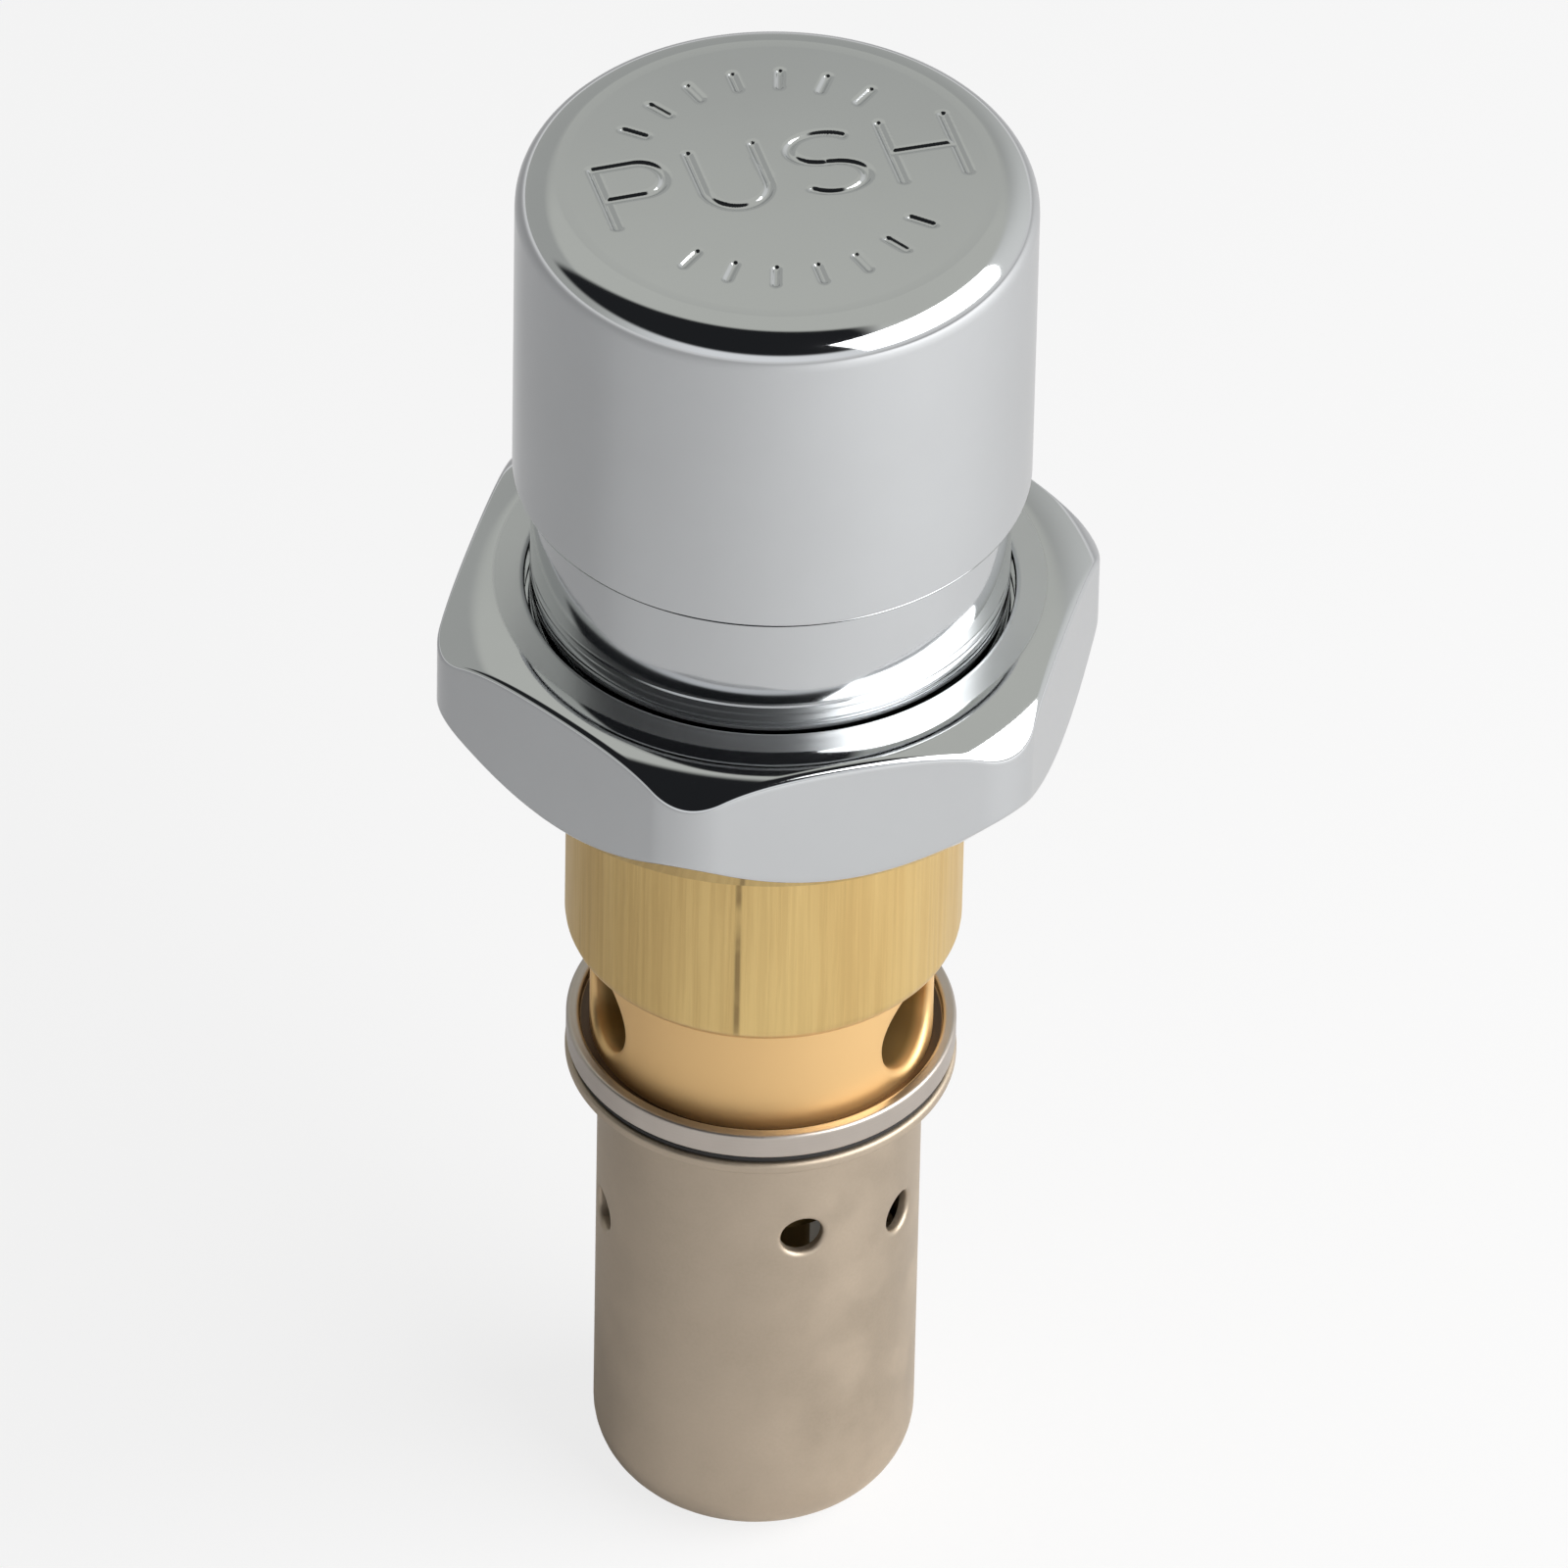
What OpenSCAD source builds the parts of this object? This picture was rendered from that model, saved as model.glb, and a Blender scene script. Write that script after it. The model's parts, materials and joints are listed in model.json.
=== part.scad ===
// Push-button metering cartridge of a timed tap, standing on its timing cup.
// Axis along +Z, origin at the middle of the cup's foot, front towards -Y.

/* [Timing cup] */
// Outside diameter of the cup
cup_d = 19.5; // [18.5:0.1:20.5]
// Wall thickness of the cup
cup_wall = 0.65; // [0.5:0.05:0.9]
// Height from the foot to the top of the lip
cup_h = 32.7; // [31:0.1:36]
// Thickness of the foot
cup_floor = 0.8; // [0.6:0.1:1.2]
// Outside radius of the rounded foot
cup_foot_r = 4.3; // [3.5:0.1:5]
// Width of the lip beyond the cup's wall
lip_w = 2; // [1.5:0.1:2.2]
// Thickness of the lip
lip_t = 0.8; // [0.6:0.1:1.2]
// Radius of the fillet under the lip
lip_fillet = 0.9; // [0.5:0.1:1.2]
// Diameter of the inlet ports
inlet_d = 2.6; // [2:0.1:3]
// Depth of the first pair of inlet ports below the lip's top
inlet_drop = 7.7; // [6:0.1:9]
// Step down from one pair of inlet ports to the next
inlet_step = 1.9; // [1:0.1:2.2]
// Turn from one pair of inlet ports to the next
inlet_turn = 45; // [30:5:60]
// Bearing of the first pair of inlet ports, from the front
inlet_bearing = 20; // [-90:5:90]
// Number of cross-drilled pairs of inlet ports
inlet_pairs = 3; // [1:1:4]
// Bevel round the mouth of each inlet port
inlet_bevel = 0.3; // [0.1:0.05:0.4]

/* [Flange] */
// Thickness of the flange gasket
flange_gasket_t = 0.5; // [0.3:0.1:0.8]
// How far the flange gasket stays inside the lip
flange_gasket_inset = 0.25; // [0.1:0.05:0.5]
// Room between the clamp ring's rim and the port band
clamp_ring_gap = 0.6; // [0.3:0.1:0.8]
// How far the clamp ring stays inside the lip
clamp_ring_inset = 0.05; // [0.05:0.05:0.3]
// Thickness of the clamp ring under the valve body
clamp_ring_floor = 1.1; // [0.8:0.1:1.6]
// Height of the clamp ring's rim above its floor
clamp_ring_rim = 0.6; // [0.4:0.1:1]
// Wall of the clamp ring's rim
clamp_ring_wall = 0.8; // [0.5:0.1:1]

/* [Valve body] */
// How far the brass body stands out past the lip
body_over = 0.1; // [0.05:0.05:0.5]
// Height of the brass body's straight wall above the port band
body_h = 22.2; // [20:0.1:26]
// Edge radius where the body steps in to the port band
body_edge_r = 1.2; // [0.6:0.1:1.5]
// Diameter of the port band
band_d = 20.6; // [20:0.1:21]
// Height of the port band
band_h = 7.8; // [7.4:0.1:9]
// Diameter of the outlet ports
outlet_d = 5.7; // [4:0.1:6.4]
// Height of the outlet ports above the foot of the band
outlet_z = 3.6; // [3.4:0.1:4.2]
// Bevel round the mouth of each outlet port
outlet_bevel = 0.5; // [0.45:0.05:0.6]
// Bearing of the two side outlet ports from the front; the third is at the back
outlet_bearing = 66; // [50:1:75]
// Length of the threaded spigot that the cup screws on
spigot_h = 6.3; // [5:0.1:7]
// How far the outlet chamber is wider than the seat's bore, on the radius
chamber_step = 0.2; // [0.1:0.05:0.4]
// Height of the outlet chamber above the foot of the band
chamber_h = 13; // [11:0.5:16]
// Depth of the relief in the body behind the bonnet gasket
gasket_relief = 0.5; // [0.4:0.1:0.8]
// Height of the threaded end inside the bonnet sleeve
body_top_h = 8.7; // [8.6:0.1:10]

/* [Valve seat and washer] */
// Outside diameter of the valve seat
seat_d = 14.8; // [14.2:0.1:15.4]
// Wall of the valve seat
seat_wall = 1.4; // [1.2:0.1:1.8]
// How far the seat stands proud of the spigot
seat_proud = 0.5; // [0.3:0.1:0.8]
// Depth of the seat's pocket in the spigot
seat_pocket = 2.5; // [2:0.1:3]
// How far the valve washer reaches past the seat
washer_over = 0.4; // [0.2:0.1:0.7]
// Thickness of the valve washer
washer_t = 2.2; // [1.8:0.1:2.6]
// Room for water between the washer plate and the seat's bore
plate_room = 1; // [0.7:0.1:1.6]
// Thickness of the washer plate
plate_t = 1.2; // [0.8:0.1:1.6]
// How far the washer holder stays inside the washer
holder_inset = 0.6; // [0.1:0.1:1.2]
// Thickness of the washer holder
holder_t = 1.6; // [1.2:0.1:2]

/* [Stem and nuts] */
// Diameter of the stem
stem_d = 5; // [4.6:0.1:5.4]
// Diameter of the stem's lower threaded end
stem_end_d = 4; // [3.6:0.1:4.2]
// Length of the stem's tail below the piston nut
stem_tail = 0.8; // [0.5:0.1:1.2]
// Width across flats of the two lower nuts
nut_m4_af = 7; // [6.5:0.1:8]
// Height of the holder nut
holder_nut_h = 3; // [2.4:0.1:3.4]
// Height of the piston nut
piston_nut_h = 2.4; // [2:0.1:2.8]
// Width across flats of the button locknut
locknut_af = 8; // [7.6:0.1:9]
// Height of the button locknut
locknut_h = 3; // [2.4:0.1:3.4]

/* [Timing piston] */
// Height of the piston
piston_h = 4.5; // [4:0.1:5]
// Room between the piston and the cup's rounded foot when pressed
piston_foot_room = 1.2; // [0.8:0.1:1.6]
// Running room between the piston and the cup
piston_clear = 0.35; // [0.25:0.05:0.5]
// Height of the piston's lip seal
piston_seal_h = 2.2; // [1.8:0.1:2.4]
// Radial depth of the piston's lip seal
piston_seal_w = 1.75; // [1.4:0.05:2]
// Outside diameter of the piston spacer
spacer_d = 6.4; // [5.8:0.1:7]
// Diameter of the bleed jet
jet_d = 2; // [1.6:0.1:2.2]
// Bore of the bleed jet
jet_bore_d = 0.6; // [0.4:0.1:0.8]
// Distance of the bleed jet from the axis
jet_offset = 5; // [4.6:0.1:5.4]

/* [Gland] */
// Section of the stem's O-rings
stem_oring_w = 1.8; // [1.6:0.1:2]
// Thickness of the spacer between the O-rings
oring_spacer_t = 0.8; // [0.6:0.1:1]
// Height of the gland bush
bush_h = 2.4; // [2:0.1:2.6]
// Thickness of the gland circlip
circlip_t = 0.8; // [0.6:0.1:1]
// How far the circlip reaches into its groove
circlip_grip = 0.5; // [0.3:0.1:0.7]
// Wall above the circlip's groove
circlip_wall = 0.4; // [0.3:0.1:0.8]

/* [Return spring] */
// Room between the return spring and the sleeve's bore
spring_room = 2.05; // [1:0.05:3]
// Wire diameter of the return spring
spring_wire = 1.4; // [1.2:0.1:1.5]
// Number of turns
spring_turns = 7; // [6:1:8]
// Thickness of the spring seat washer
spring_seat_t = 0.8; // [0.6:0.1:1.2]

/* [Bonnet sleeve] */
// Radial step from the brass body out to the sleeve that guides the button
sleeve_step = 0.85; // [0.5:0.05:1.2]
// Wall of the sleeve
sleeve_wall = 1.9; // [1.6:0.1:2.2]
// Radial step from the sleeve out to its collar
collar_step = 1.45; // [1.2:0.05:1.7]
// How far the collar stands above the nut
collar_proud = 1.5; // [1:0.1:2]
// Depth and width of the turned rings on the collar
collar_ring = 0.35; // [0.2:0.05:0.45]
// Thickness of the bonnet's flange
flange_t = 1.4; // [1.2:0.1:1.8]
// Radial hold of the flange under the nut's lip
flange_hold = 0.5; // [0.4:0.05:0.7]
// Thickness of the bonnet gasket
bonnet_gasket_t = 1; // [0.6:0.1:1.4]
// Section of the wiper ring
wiper_w = 1.2; // [1:0.1:1.4]
// Height of the wiper ring above the button's lower edge
wiper_rise = 2; // [1.5:0.1:4]

/* [Cap nut] */
// Wall from the threaded bore to the middle of a flat
nut_wall = 2.75; // [2.5:0.05:4]
// Radius of the rounded corners
nut_corner_round = 4.3; // [2.5:0.1:5]
// Height of the nut
nut_h = 9.5; // [8.5:0.1:10.5]
// Thickness of the nut's lip
nut_lip = 1.8; // [1.4:0.1:2.2]
// Bearing of one corner of the nut, from the front
nut_bearing = -10; // [-30:1:30]
// Width of the flat land round the mouth
nut_land = 1.95; // [1.5:0.05:2.5]
// Radius of the domed top edge
nut_dome_r = 4.5; // [4.2:0.1:6]
// Height of the bottom bevel at the corners
nut_foot_bevel = 3.3; // [1.6:0.1:3.6]
// Width of the flat ring on the underside
nut_foot_land = 1.2; // [0.8:0.1:1.4]
// Bevel at the mouth of the thread
nut_thread_bevel = 0.8; // [0.4:0.1:1]

/* [Push button] */
// Wall of the button
button_wall = 2.25; // [1.6:0.05:3]
// Height of the button
button_h = 21.5; // [20.5:0.1:24]
// Thickness of the button's roof
button_roof = 2.6; // [2.4:0.1:3]
// Radius of the button's top edge
button_fillet = 2.3; // [1.5:0.1:2.4]
// Diameter of the boss that takes the stem
boss_d = 9; // [8:0.1:10]
// Length of the boss below the roof
boss_h = 8; // [6:0.1:9]
// Travel of the button
press_stroke = 6; // [4:0.1:6.4]
// Gap left under the button when it is pressed home
press_gap = 0.9; // [0.6:0.1:1.2]

/* [Clearances] */
// Radial room of a thread drawn as a plain wall
thread_clear = 0.1; // [0.05:0.05:0.15]
// Radial room of a piece that is pressed or slipped into its place
slip_clear = 0.03; // [0.02:0.01:0.05]
// Radial room of the seals that run on the stem and in the cup
seal_clear = 0.05; // [0.03:0.01:0.08]
// Room between the washer and its seat
seat_clear = 0.05; // [0.03:0.01:0.1]
// Radial room of the stem in the brass body
stem_clear = 0.3; // [0.2:0.05:0.5]
// Radial room of the button on the sleeve
button_clear = 0.3; // [0.25:0.05:0.4]
// Radial room of the nut round the collar and the flange
nut_clear = 0.3; // [0.25:0.05:0.4]
// Room between the nut's lip and the flange
nut_lip_clear = 0.1; // [0.05:0.05:0.2]

/* [Hidden] */
$fn = 96;
eps = 0.01;
cut = 1;

// Radii
cup_r = cup_d / 2;
cup_bore_r = cup_r - cup_wall;
spigot_r = cup_bore_r - thread_clear;
band_r = band_d / 2;
// The lip covers its own width and the clamp ring round the band, whichever reaches further
lip_r = max(cup_r + lip_w, band_r + clamp_ring_gap + clamp_ring_wall + clamp_ring_inset);
clamp_ring_r = lip_r - clamp_ring_inset;
body_r = lip_r + body_over;
seat_r = seat_d / 2;
seat_bore_r = seat_r - seat_wall;
chamber_r = seat_bore_r + chamber_step;
washer_r = seat_r + washer_over;
plate_r = seat_bore_r - plate_room;
holder_r = washer_r - holder_inset;
stem_r = stem_d / 2;
stem_end_r = stem_end_d / 2;
nut_bore_r = stem_end_r + slip_clear;
sleeve_r = body_r + sleeve_step;
sleeve_bore_r = sleeve_r - sleeve_wall;
body_top_r = sleeve_bore_r - thread_clear;
collar_r = sleeve_r + collar_step;
mouth_r = collar_r + nut_clear;
flange_r = mouth_r + flange_hold;
thread_r = flange_r + nut_clear;
nut_af = 2 * (thread_r + nut_wall);
relief_r = body_r - gasket_relief;
button_bore_r = sleeve_r + button_clear;
button_r = button_bore_r + button_wall;
piston_r = cup_bore_r - piston_clear;
seal_r = cup_bore_r - seal_clear;
gland_r = stem_r + 2 * seal_clear + stem_oring_w;
spring_mean_r = sleeve_bore_r - spring_room - spring_wire / 2;

// Heights of the fixed stack, from the cup's foot up
lip_foot_z = cup_h - lip_t;
ring_foot_z = cup_h + flange_gasket_t;
band_foot_z = ring_foot_z + clamp_ring_floor;
ring_top_z = band_foot_z + clamp_ring_rim;
step_z = band_foot_z + band_h;
body_top_z = step_z + body_h;
flange_foot_z = body_top_z + bonnet_gasket_t;
flange_top_z = flange_foot_z + flange_t;
nut_lip_z = flange_top_z + nut_lip_clear;
nut_top_z = nut_lip_z + nut_lip;
nut_foot_z = nut_top_z - nut_h;
collar_top_z = nut_top_z + collar_proud;
gland_top_z = flange_foot_z + body_top_h;
spring_foot_z = gland_top_z + spring_seat_t;

// Heights of the plunger at rest
button_foot_z = collar_top_z + press_stroke + press_gap;
button_top_z = button_foot_z + button_h;
roof_z = button_top_z - button_roof;
boss_foot_z = roof_z - boss_h;
sleeve_top_z = roof_z - press_stroke - press_gap;
wiper_z = button_foot_z + wiper_rise;
spigot_foot_z = band_foot_z - spigot_h;
seat_foot_z = spigot_foot_z - seat_proud;
washer_top_z = seat_foot_z - seat_clear;
plate_top_z = washer_top_z + plate_t;
holder_top_z = washer_top_z - washer_t;
holder_foot_z = holder_top_z - holder_t;
holder_nut_foot_z = holder_foot_z - holder_nut_h;
piston_foot_z = cup_foot_r + piston_foot_room + press_stroke;
piston_top_z = piston_foot_z + piston_h;
piston_nut_foot_z = piston_foot_z - piston_nut_h;
stem_foot_z = piston_nut_foot_z - stem_tail;
stem_top_z = roof_z - slip_clear;

// Heights in the gland, from the circlip down to the lower O-ring
circlip_top_z = gland_top_z - circlip_wall;
circlip_foot_z = circlip_top_z - circlip_t;
bush_foot_z = circlip_foot_z - bush_h;
upper_oring_foot_z = bush_foot_z - stem_oring_w;
oring_spacer_foot_z = upper_oring_foot_z - oring_spacer_t;
gland_foot_z = oring_spacer_foot_z - stem_oring_w;

// Colours
chrome_c = [0.78, 0.79, 0.80];
brass_c = [0.80, 0.66, 0.36];
nickel_c = [0.66, 0.62, 0.57];
steel_c = [0.70, 0.71, 0.72];
rubber_c = [0.07, 0.07, 0.07];
fibre_c = [0.45, 0.20, 0.14];
acetal_c = [0.88, 0.87, 0.82];

// Plain ring from z up, with outer and inner radius
module ring(outer, inner, z, h) {
    translate([0, 0, z]) difference() {
        cylinder(r = outer, h = h);
        translate([0, 0, -cut]) cylinder(r = inner, h = h + 2 * cut);
    }
}

// Plain round of radius r from z up
module disc(r, z, h) {
    translate([0, 0, z]) cylinder(r = r, h = h);
}

// Cone from radius r1 at z up to radius r2
module cone(r1, r2, z, h) {
    translate([0, 0, z]) cylinder(r1 = r1, r2 = r2, h = h);
}

// Round bar from z0 to z1 whose lower edge has radius edge
module round_foot(r, edge, z0, z1) {
    rotate_extrude() translate([0, z0]) {
        square([r - edge, z1 - z0]);
        translate([0, edge]) square([r, z1 - z0 - edge]);
        intersection() {
            translate([r - edge, edge]) circle(r = edge);
            square([r, edge]);
        }
    }
}

// O-ring of round section w lying on z, with inner radius inner
module oring(inner, w, z) {
    translate([0, 0, z + w / 2]) rotate_extrude() translate([inner + w / 2, 0]) circle(d = w, $fn = 32);
}

// Hexagon nut with bevelled corners on both faces
module hex_nut(af, bore, z, h, bevel = 0.3) {
    corner_r = af / 2 / cos(30);
    translate([0, 0, z]) difference() {
        intersection() {
            cylinder(r = corner_r, h = h, $fn = 6);
            rotate_extrude() polygon([
                [0, 0], [corner_r - 2 * bevel, 0], [corner_r, bevel], [corner_r, h - bevel],
                [corner_r - 2 * bevel, h], [0, h]
            ]);
        }
        translate([0, 0, -cut]) cylinder(r = bore, h = h + 2 * cut);
    }
}

// Radial port of diameter d at height z, towards a bearing from the front, bevelled where it leaves the wall
module port(d, bevel, z, bearing, wall_r) {
    rotate([0, 0, bearing - 90]) translate([0, 0, z]) rotate([0, 90, 0]) {
        cylinder(d = d, h = wall_r + cut);
        translate([0, 0, wall_r - bevel]) cylinder(d1 = d, d2 = d + 4 * bevel, h = 2 * bevel);
    }
}

// Thin cup with a rounded foot, an outward lip and cross-drilled inlet ports
module timing_cup() {
    color(nickel_c) difference() {
        union() {
            round_foot(cup_r, cup_foot_r, 0, cup_h);
            disc(lip_r, lip_foot_z, lip_t);
            rotate_extrude() difference() {
                translate([cup_bore_r + eps, lip_foot_z - lip_fillet]) square([cup_wall + lip_fillet, lip_fillet + eps]);
                translate([cup_r + lip_fillet, lip_foot_z - lip_fillet]) circle(r = lip_fillet);
            }
        }
        round_foot(cup_bore_r, cup_foot_r - cup_wall, cup_floor, cup_h + cut);
        for (pair = [0 : inlet_pairs - 1])
            for (side = [0, 180])
                port(inlet_d, inlet_bevel, cup_h - inlet_drop - pair * inlet_step,
                    inlet_bearing + pair * inlet_turn + side, cup_r);
    }
}

// Flat rubber washer clamped between the cup's lip and the clamp ring
module flange_gasket() {
    color(rubber_c) ring(lip_r - flange_gasket_inset, cup_bore_r, cup_h, flange_gasket_t);
}

// Nickel ring with a low rim that the foot of the valve body sits in
module clamp_ring() {
    color(nickel_c) difference() {
        ring(clamp_ring_r, cup_bore_r, ring_foot_z, ring_top_z - ring_foot_z);
        disc(clamp_ring_r - clamp_ring_wall, band_foot_z, clamp_ring_rim + cut);
    }
}

// Turned brass body: threaded spigot, port band, straight wall, gasket relief and threaded top
module valve_body() {
    color(brass_c) difference() {
        union() {
            disc(spigot_r, spigot_foot_z, spigot_h + eps);
            disc(band_r, band_foot_z, band_h + eps);
            round_foot(body_r, body_edge_r, step_z, body_top_z);
            disc(relief_r, body_top_z - eps, bonnet_gasket_t + eps);
            disc(body_top_r, flange_foot_z - eps, body_top_h + eps);
        }
        disc(seat_r + slip_clear, spigot_foot_z - cut, seat_pocket + cut);
        disc(chamber_r, spigot_foot_z, spigot_h + chamber_h);
        cone(chamber_r, stem_r + stem_clear, band_foot_z + chamber_h - eps, chamber_r / 2);
        disc(stem_r + stem_clear, band_foot_z, gland_top_z - band_foot_z + cut);
        disc(gland_r, gland_foot_z, gland_top_z - gland_foot_z + cut);
        disc(gland_r + circlip_grip, circlip_foot_z, circlip_t);
        for (bearing = [-outlet_bearing, outlet_bearing, 180])
            port(outlet_d, outlet_bevel, band_foot_z + outlet_z, bearing, band_r);
    }
}

// Hard seat pressed into the spigot, with its bore open to the chamber
module valve_seat() {
    color(steel_c) ring(seat_r, seat_bore_r, seat_foot_z, seat_pocket + seat_proud);
}

// Chrome sleeve that guides the button, with a ringed collar and a clamping flange
module bonnet_sleeve() {
    color(chrome_c) difference() {
        union() {
            disc(sleeve_r, flange_foot_z, sleeve_top_z - flange_foot_z);
            disc(collar_r, flange_foot_z, collar_top_z - collar_ring - flange_foot_z);
            disc(collar_r - 2 * collar_ring, flange_foot_z, collar_top_z - flange_foot_z);
            disc(flange_r, flange_foot_z, flange_t);
        }
        disc(sleeve_bore_r, flange_foot_z - cut, sleeve_top_z - flange_foot_z + 2 * cut);
        ring(collar_r + cut, collar_r - collar_ring, nut_top_z + collar_ring / 2, collar_ring);
        ring(sleeve_r + cut, button_bore_r - seal_clear - wiper_w - slip_clear, wiper_z - slip_clear,
            wiper_w + 2 * slip_clear);
    }
}

// Fibre washer under the bonnet's flange, slipped over the brass body
module bonnet_gasket() {
    color(fibre_c) ring(flange_r - nut_clear, body_r + slip_clear, body_top_z, bonnet_gasket_t);
}

// Rubber ring in the sleeve's groove that wipes the inside of the button
module wiper_ring() {
    color(rubber_c) oring(button_bore_r - seal_clear - wiper_w, wiper_w, wiper_z);
}

// Two O-rings that seal the stem in the gland
module stem_orings() {
    color(rubber_c) for (z = [gland_foot_z, upper_oring_foot_z]) oring(stem_r + seal_clear, stem_oring_w, z);
}

// Washer between the two O-rings
module oring_spacer() {
    color(acetal_c) ring(gland_r - slip_clear, stem_r + seal_clear, oring_spacer_foot_z, oring_spacer_t);
}

// Plastic bush that guides the stem above the O-rings
module gland_bush() {
    color(acetal_c) ring(gland_r - slip_clear, stem_r + seal_clear, bush_foot_z, bush_h);
}

// Spring clip in the gland's groove, open at the back
module gland_circlip() {
    circlip_bore_r = stem_r + stem_clear + circlip_grip;
    color(steel_c) difference() {
        ring(gland_r + circlip_grip - slip_clear, circlip_bore_r, circlip_foot_z, circlip_t);
        translate([-circlip_bore_r / 2, 0, circlip_foot_z - cut])
            cube([circlip_bore_r, gland_r + circlip_grip + cut, circlip_t + 2 * cut]);
    }
}

// Washer under the return spring
module spring_seat() {
    color(steel_c) ring(body_top_r - slip_clear, gland_r + circlip_grip, gland_top_z, spring_seat_t);
}

// Height of the wire's middle along the spring: one close turn at each end, even pitch between
spring_gap = 0.45;
spring_end_pitch = spring_wire + spring_gap;
spring_low_z = spring_foot_z + spring_wire / 2 + slip_clear;
spring_high_z = roof_z - spring_wire / 2 - slip_clear;
spring_pitch = (spring_high_z - spring_low_z - 2 * spring_end_pitch) / (spring_turns - 2);
function spring_z(turn) =
    spring_low_z + spring_end_pitch * min(turn, 1)
    + spring_pitch * max(0, min(turn, spring_turns - 1) - 1)
    + spring_end_pitch * max(0, turn - spring_turns + 1);

spring_steps = 12;
spring_sides = 6;
function spring_point(step, side) =
    let (
        turn = step / spring_steps,
        around = 360 * side / spring_sides,
        radius = spring_mean_r + spring_wire / 2 * cos(around)
    )
    [radius * cos(360 * turn), radius * sin(360 * turn), spring_z(turn) + spring_wire / 2 * sin(around)];

// Coil spring between its seat washer and the roof of the button
module return_spring() {
    last = spring_turns * spring_steps;
    points = [for (step = [0 : last]) for (side = [0 : spring_sides - 1]) spring_point(step, side)];
    walls = [
        for (step = [0 : last - 1]) for (side = [0 : spring_sides - 1])
            let (
                near = step * spring_sides + side,
                beside = step * spring_sides + (side + 1) % spring_sides
            )
            each [[near, near + spring_sides, beside + spring_sides], [near, beside + spring_sides, beside]]
    ];
    ends = [
        for (side = [1 : spring_sides - 2])
            each [
                [0, side, side + 1],
                [last * spring_sides, last * spring_sides + side + 1, last * spring_sides + side]
            ]
    ];
    color(steel_c) polyhedron(points = points, faces = concat(walls, ends));
}
echo("least gap between the spring's turns", min(spring_end_pitch, spring_pitch) - spring_wire);

// Distance from the axis to the middle of each rounded corner, whose arc crosses the flats by a hair
function corner_centre(af, corner_round) = (af / 2 - corner_round + 2 * eps) / cos(30);

// Hexagon with a corner towards +X, its flats joined by rounded corners
module round_hex(af, corner_round) {
    flat_end = af / 2 * tan(30) - corner_round * tan(30);
    polygon([
        for (flat = [30 : 60 : 330]) for (end = [-flat_end, flat_end])
            af / 2 * [cos(flat), sin(flat)] + end * [-sin(flat), cos(flat)]
    ]);
    for (corner = [0 : 60 : 300])
        rotate(corner) translate([corner_centre(af, corner_round), 0]) circle(r = corner_round);
}

// Hexagon cap nut with rounded corners, a domed top, a bevelled foot, a lip over the flange and a threaded bore
module cap_nut() {
    corner_r = corner_centre(nut_af, nut_corner_round) + nut_corner_round;
    land_r = mouth_r + nut_land;
    foot_r = thread_r + nut_thread_bevel + nut_foot_land;
    past_r = corner_r + cut;
    foot_slope = nut_foot_bevel / (corner_r - foot_r);
    color(chrome_c) difference() {
        intersection() {
            rotate([0, 0, nut_bearing - 90]) translate([0, 0, nut_foot_z])
                linear_extrude(nut_h) round_hex(nut_af, nut_corner_round);
            translate([0, 0, nut_foot_z]) rotate_extrude() difference() {
                polygon([[0, 0], [foot_r, 0], [past_r, foot_slope * (past_r - foot_r)], [past_r, nut_h], [0, nut_h]]);
                translate([land_r, nut_h - nut_dome_r]) difference() {
                    square([past_r, nut_dome_r + cut]);
                    circle(r = nut_dome_r);
                }
            }
        }
        disc(mouth_r, nut_foot_z, nut_h + cut);
        disc(thread_r, nut_foot_z - cut, nut_lip_z - nut_foot_z + cut);
        cone(thread_r + nut_thread_bevel, thread_r, nut_foot_z, nut_thread_bevel);
    }
}

// Hollow button with a rounded top edge and a boss for the stem
module push_button() {
    color(chrome_c) difference() {
        union() {
            difference() {
                translate([0, 0, button_top_z + button_foot_z]) mirror([0, 0, 1])
                    round_foot(button_r, button_fillet, button_foot_z, button_top_z);
                disc(button_bore_r, button_foot_z - cut, roof_z - button_foot_z + cut);
            }
            disc(boss_d / 2, boss_foot_z, roof_z - boss_foot_z + eps);
        }
        disc(stem_r + slip_clear, boss_foot_z - cut, stem_top_z - boss_foot_z + cut + slip_clear);
    }
}

// Nut that locks the stem in the button's boss
module button_locknut() {
    color(steel_c) hex_nut(locknut_af, stem_r + slip_clear, boss_foot_z - locknut_h, locknut_h);
}

// Round stem from the button's boss to the piston nut, thinner below the washer plate
module stem() {
    color(steel_c) {
        disc(stem_r, plate_top_z, stem_top_z - plate_top_z);
        disc(stem_end_r, stem_foot_z, plate_top_z - stem_foot_z + eps);
    }
}

// Plate that clamps the valve washer against its holder
module washer_plate() {
    color(brass_c) ring(plate_r, nut_bore_r, washer_top_z, plate_t);
}

// Rubber washer that closes the valve seat
module valve_washer() {
    color(rubber_c) ring(washer_r, nut_bore_r, holder_top_z, washer_t);
}

// Brass holder under the valve washer
module washer_holder() {
    color(brass_c) ring(holder_r, nut_bore_r, holder_foot_z, holder_t);
}

// Nut that clamps the washer's pack on the stem
module holder_nut() {
    color(steel_c) hex_nut(nut_m4_af, nut_bore_r, holder_nut_foot_z, holder_nut_h);
}

// Tube that sets the piston's distance below the holder nut
module piston_spacer() {
    color(brass_c) ring(spacer_d / 2, nut_bore_r, piston_top_z, holder_nut_foot_z - piston_top_z);
}

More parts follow.
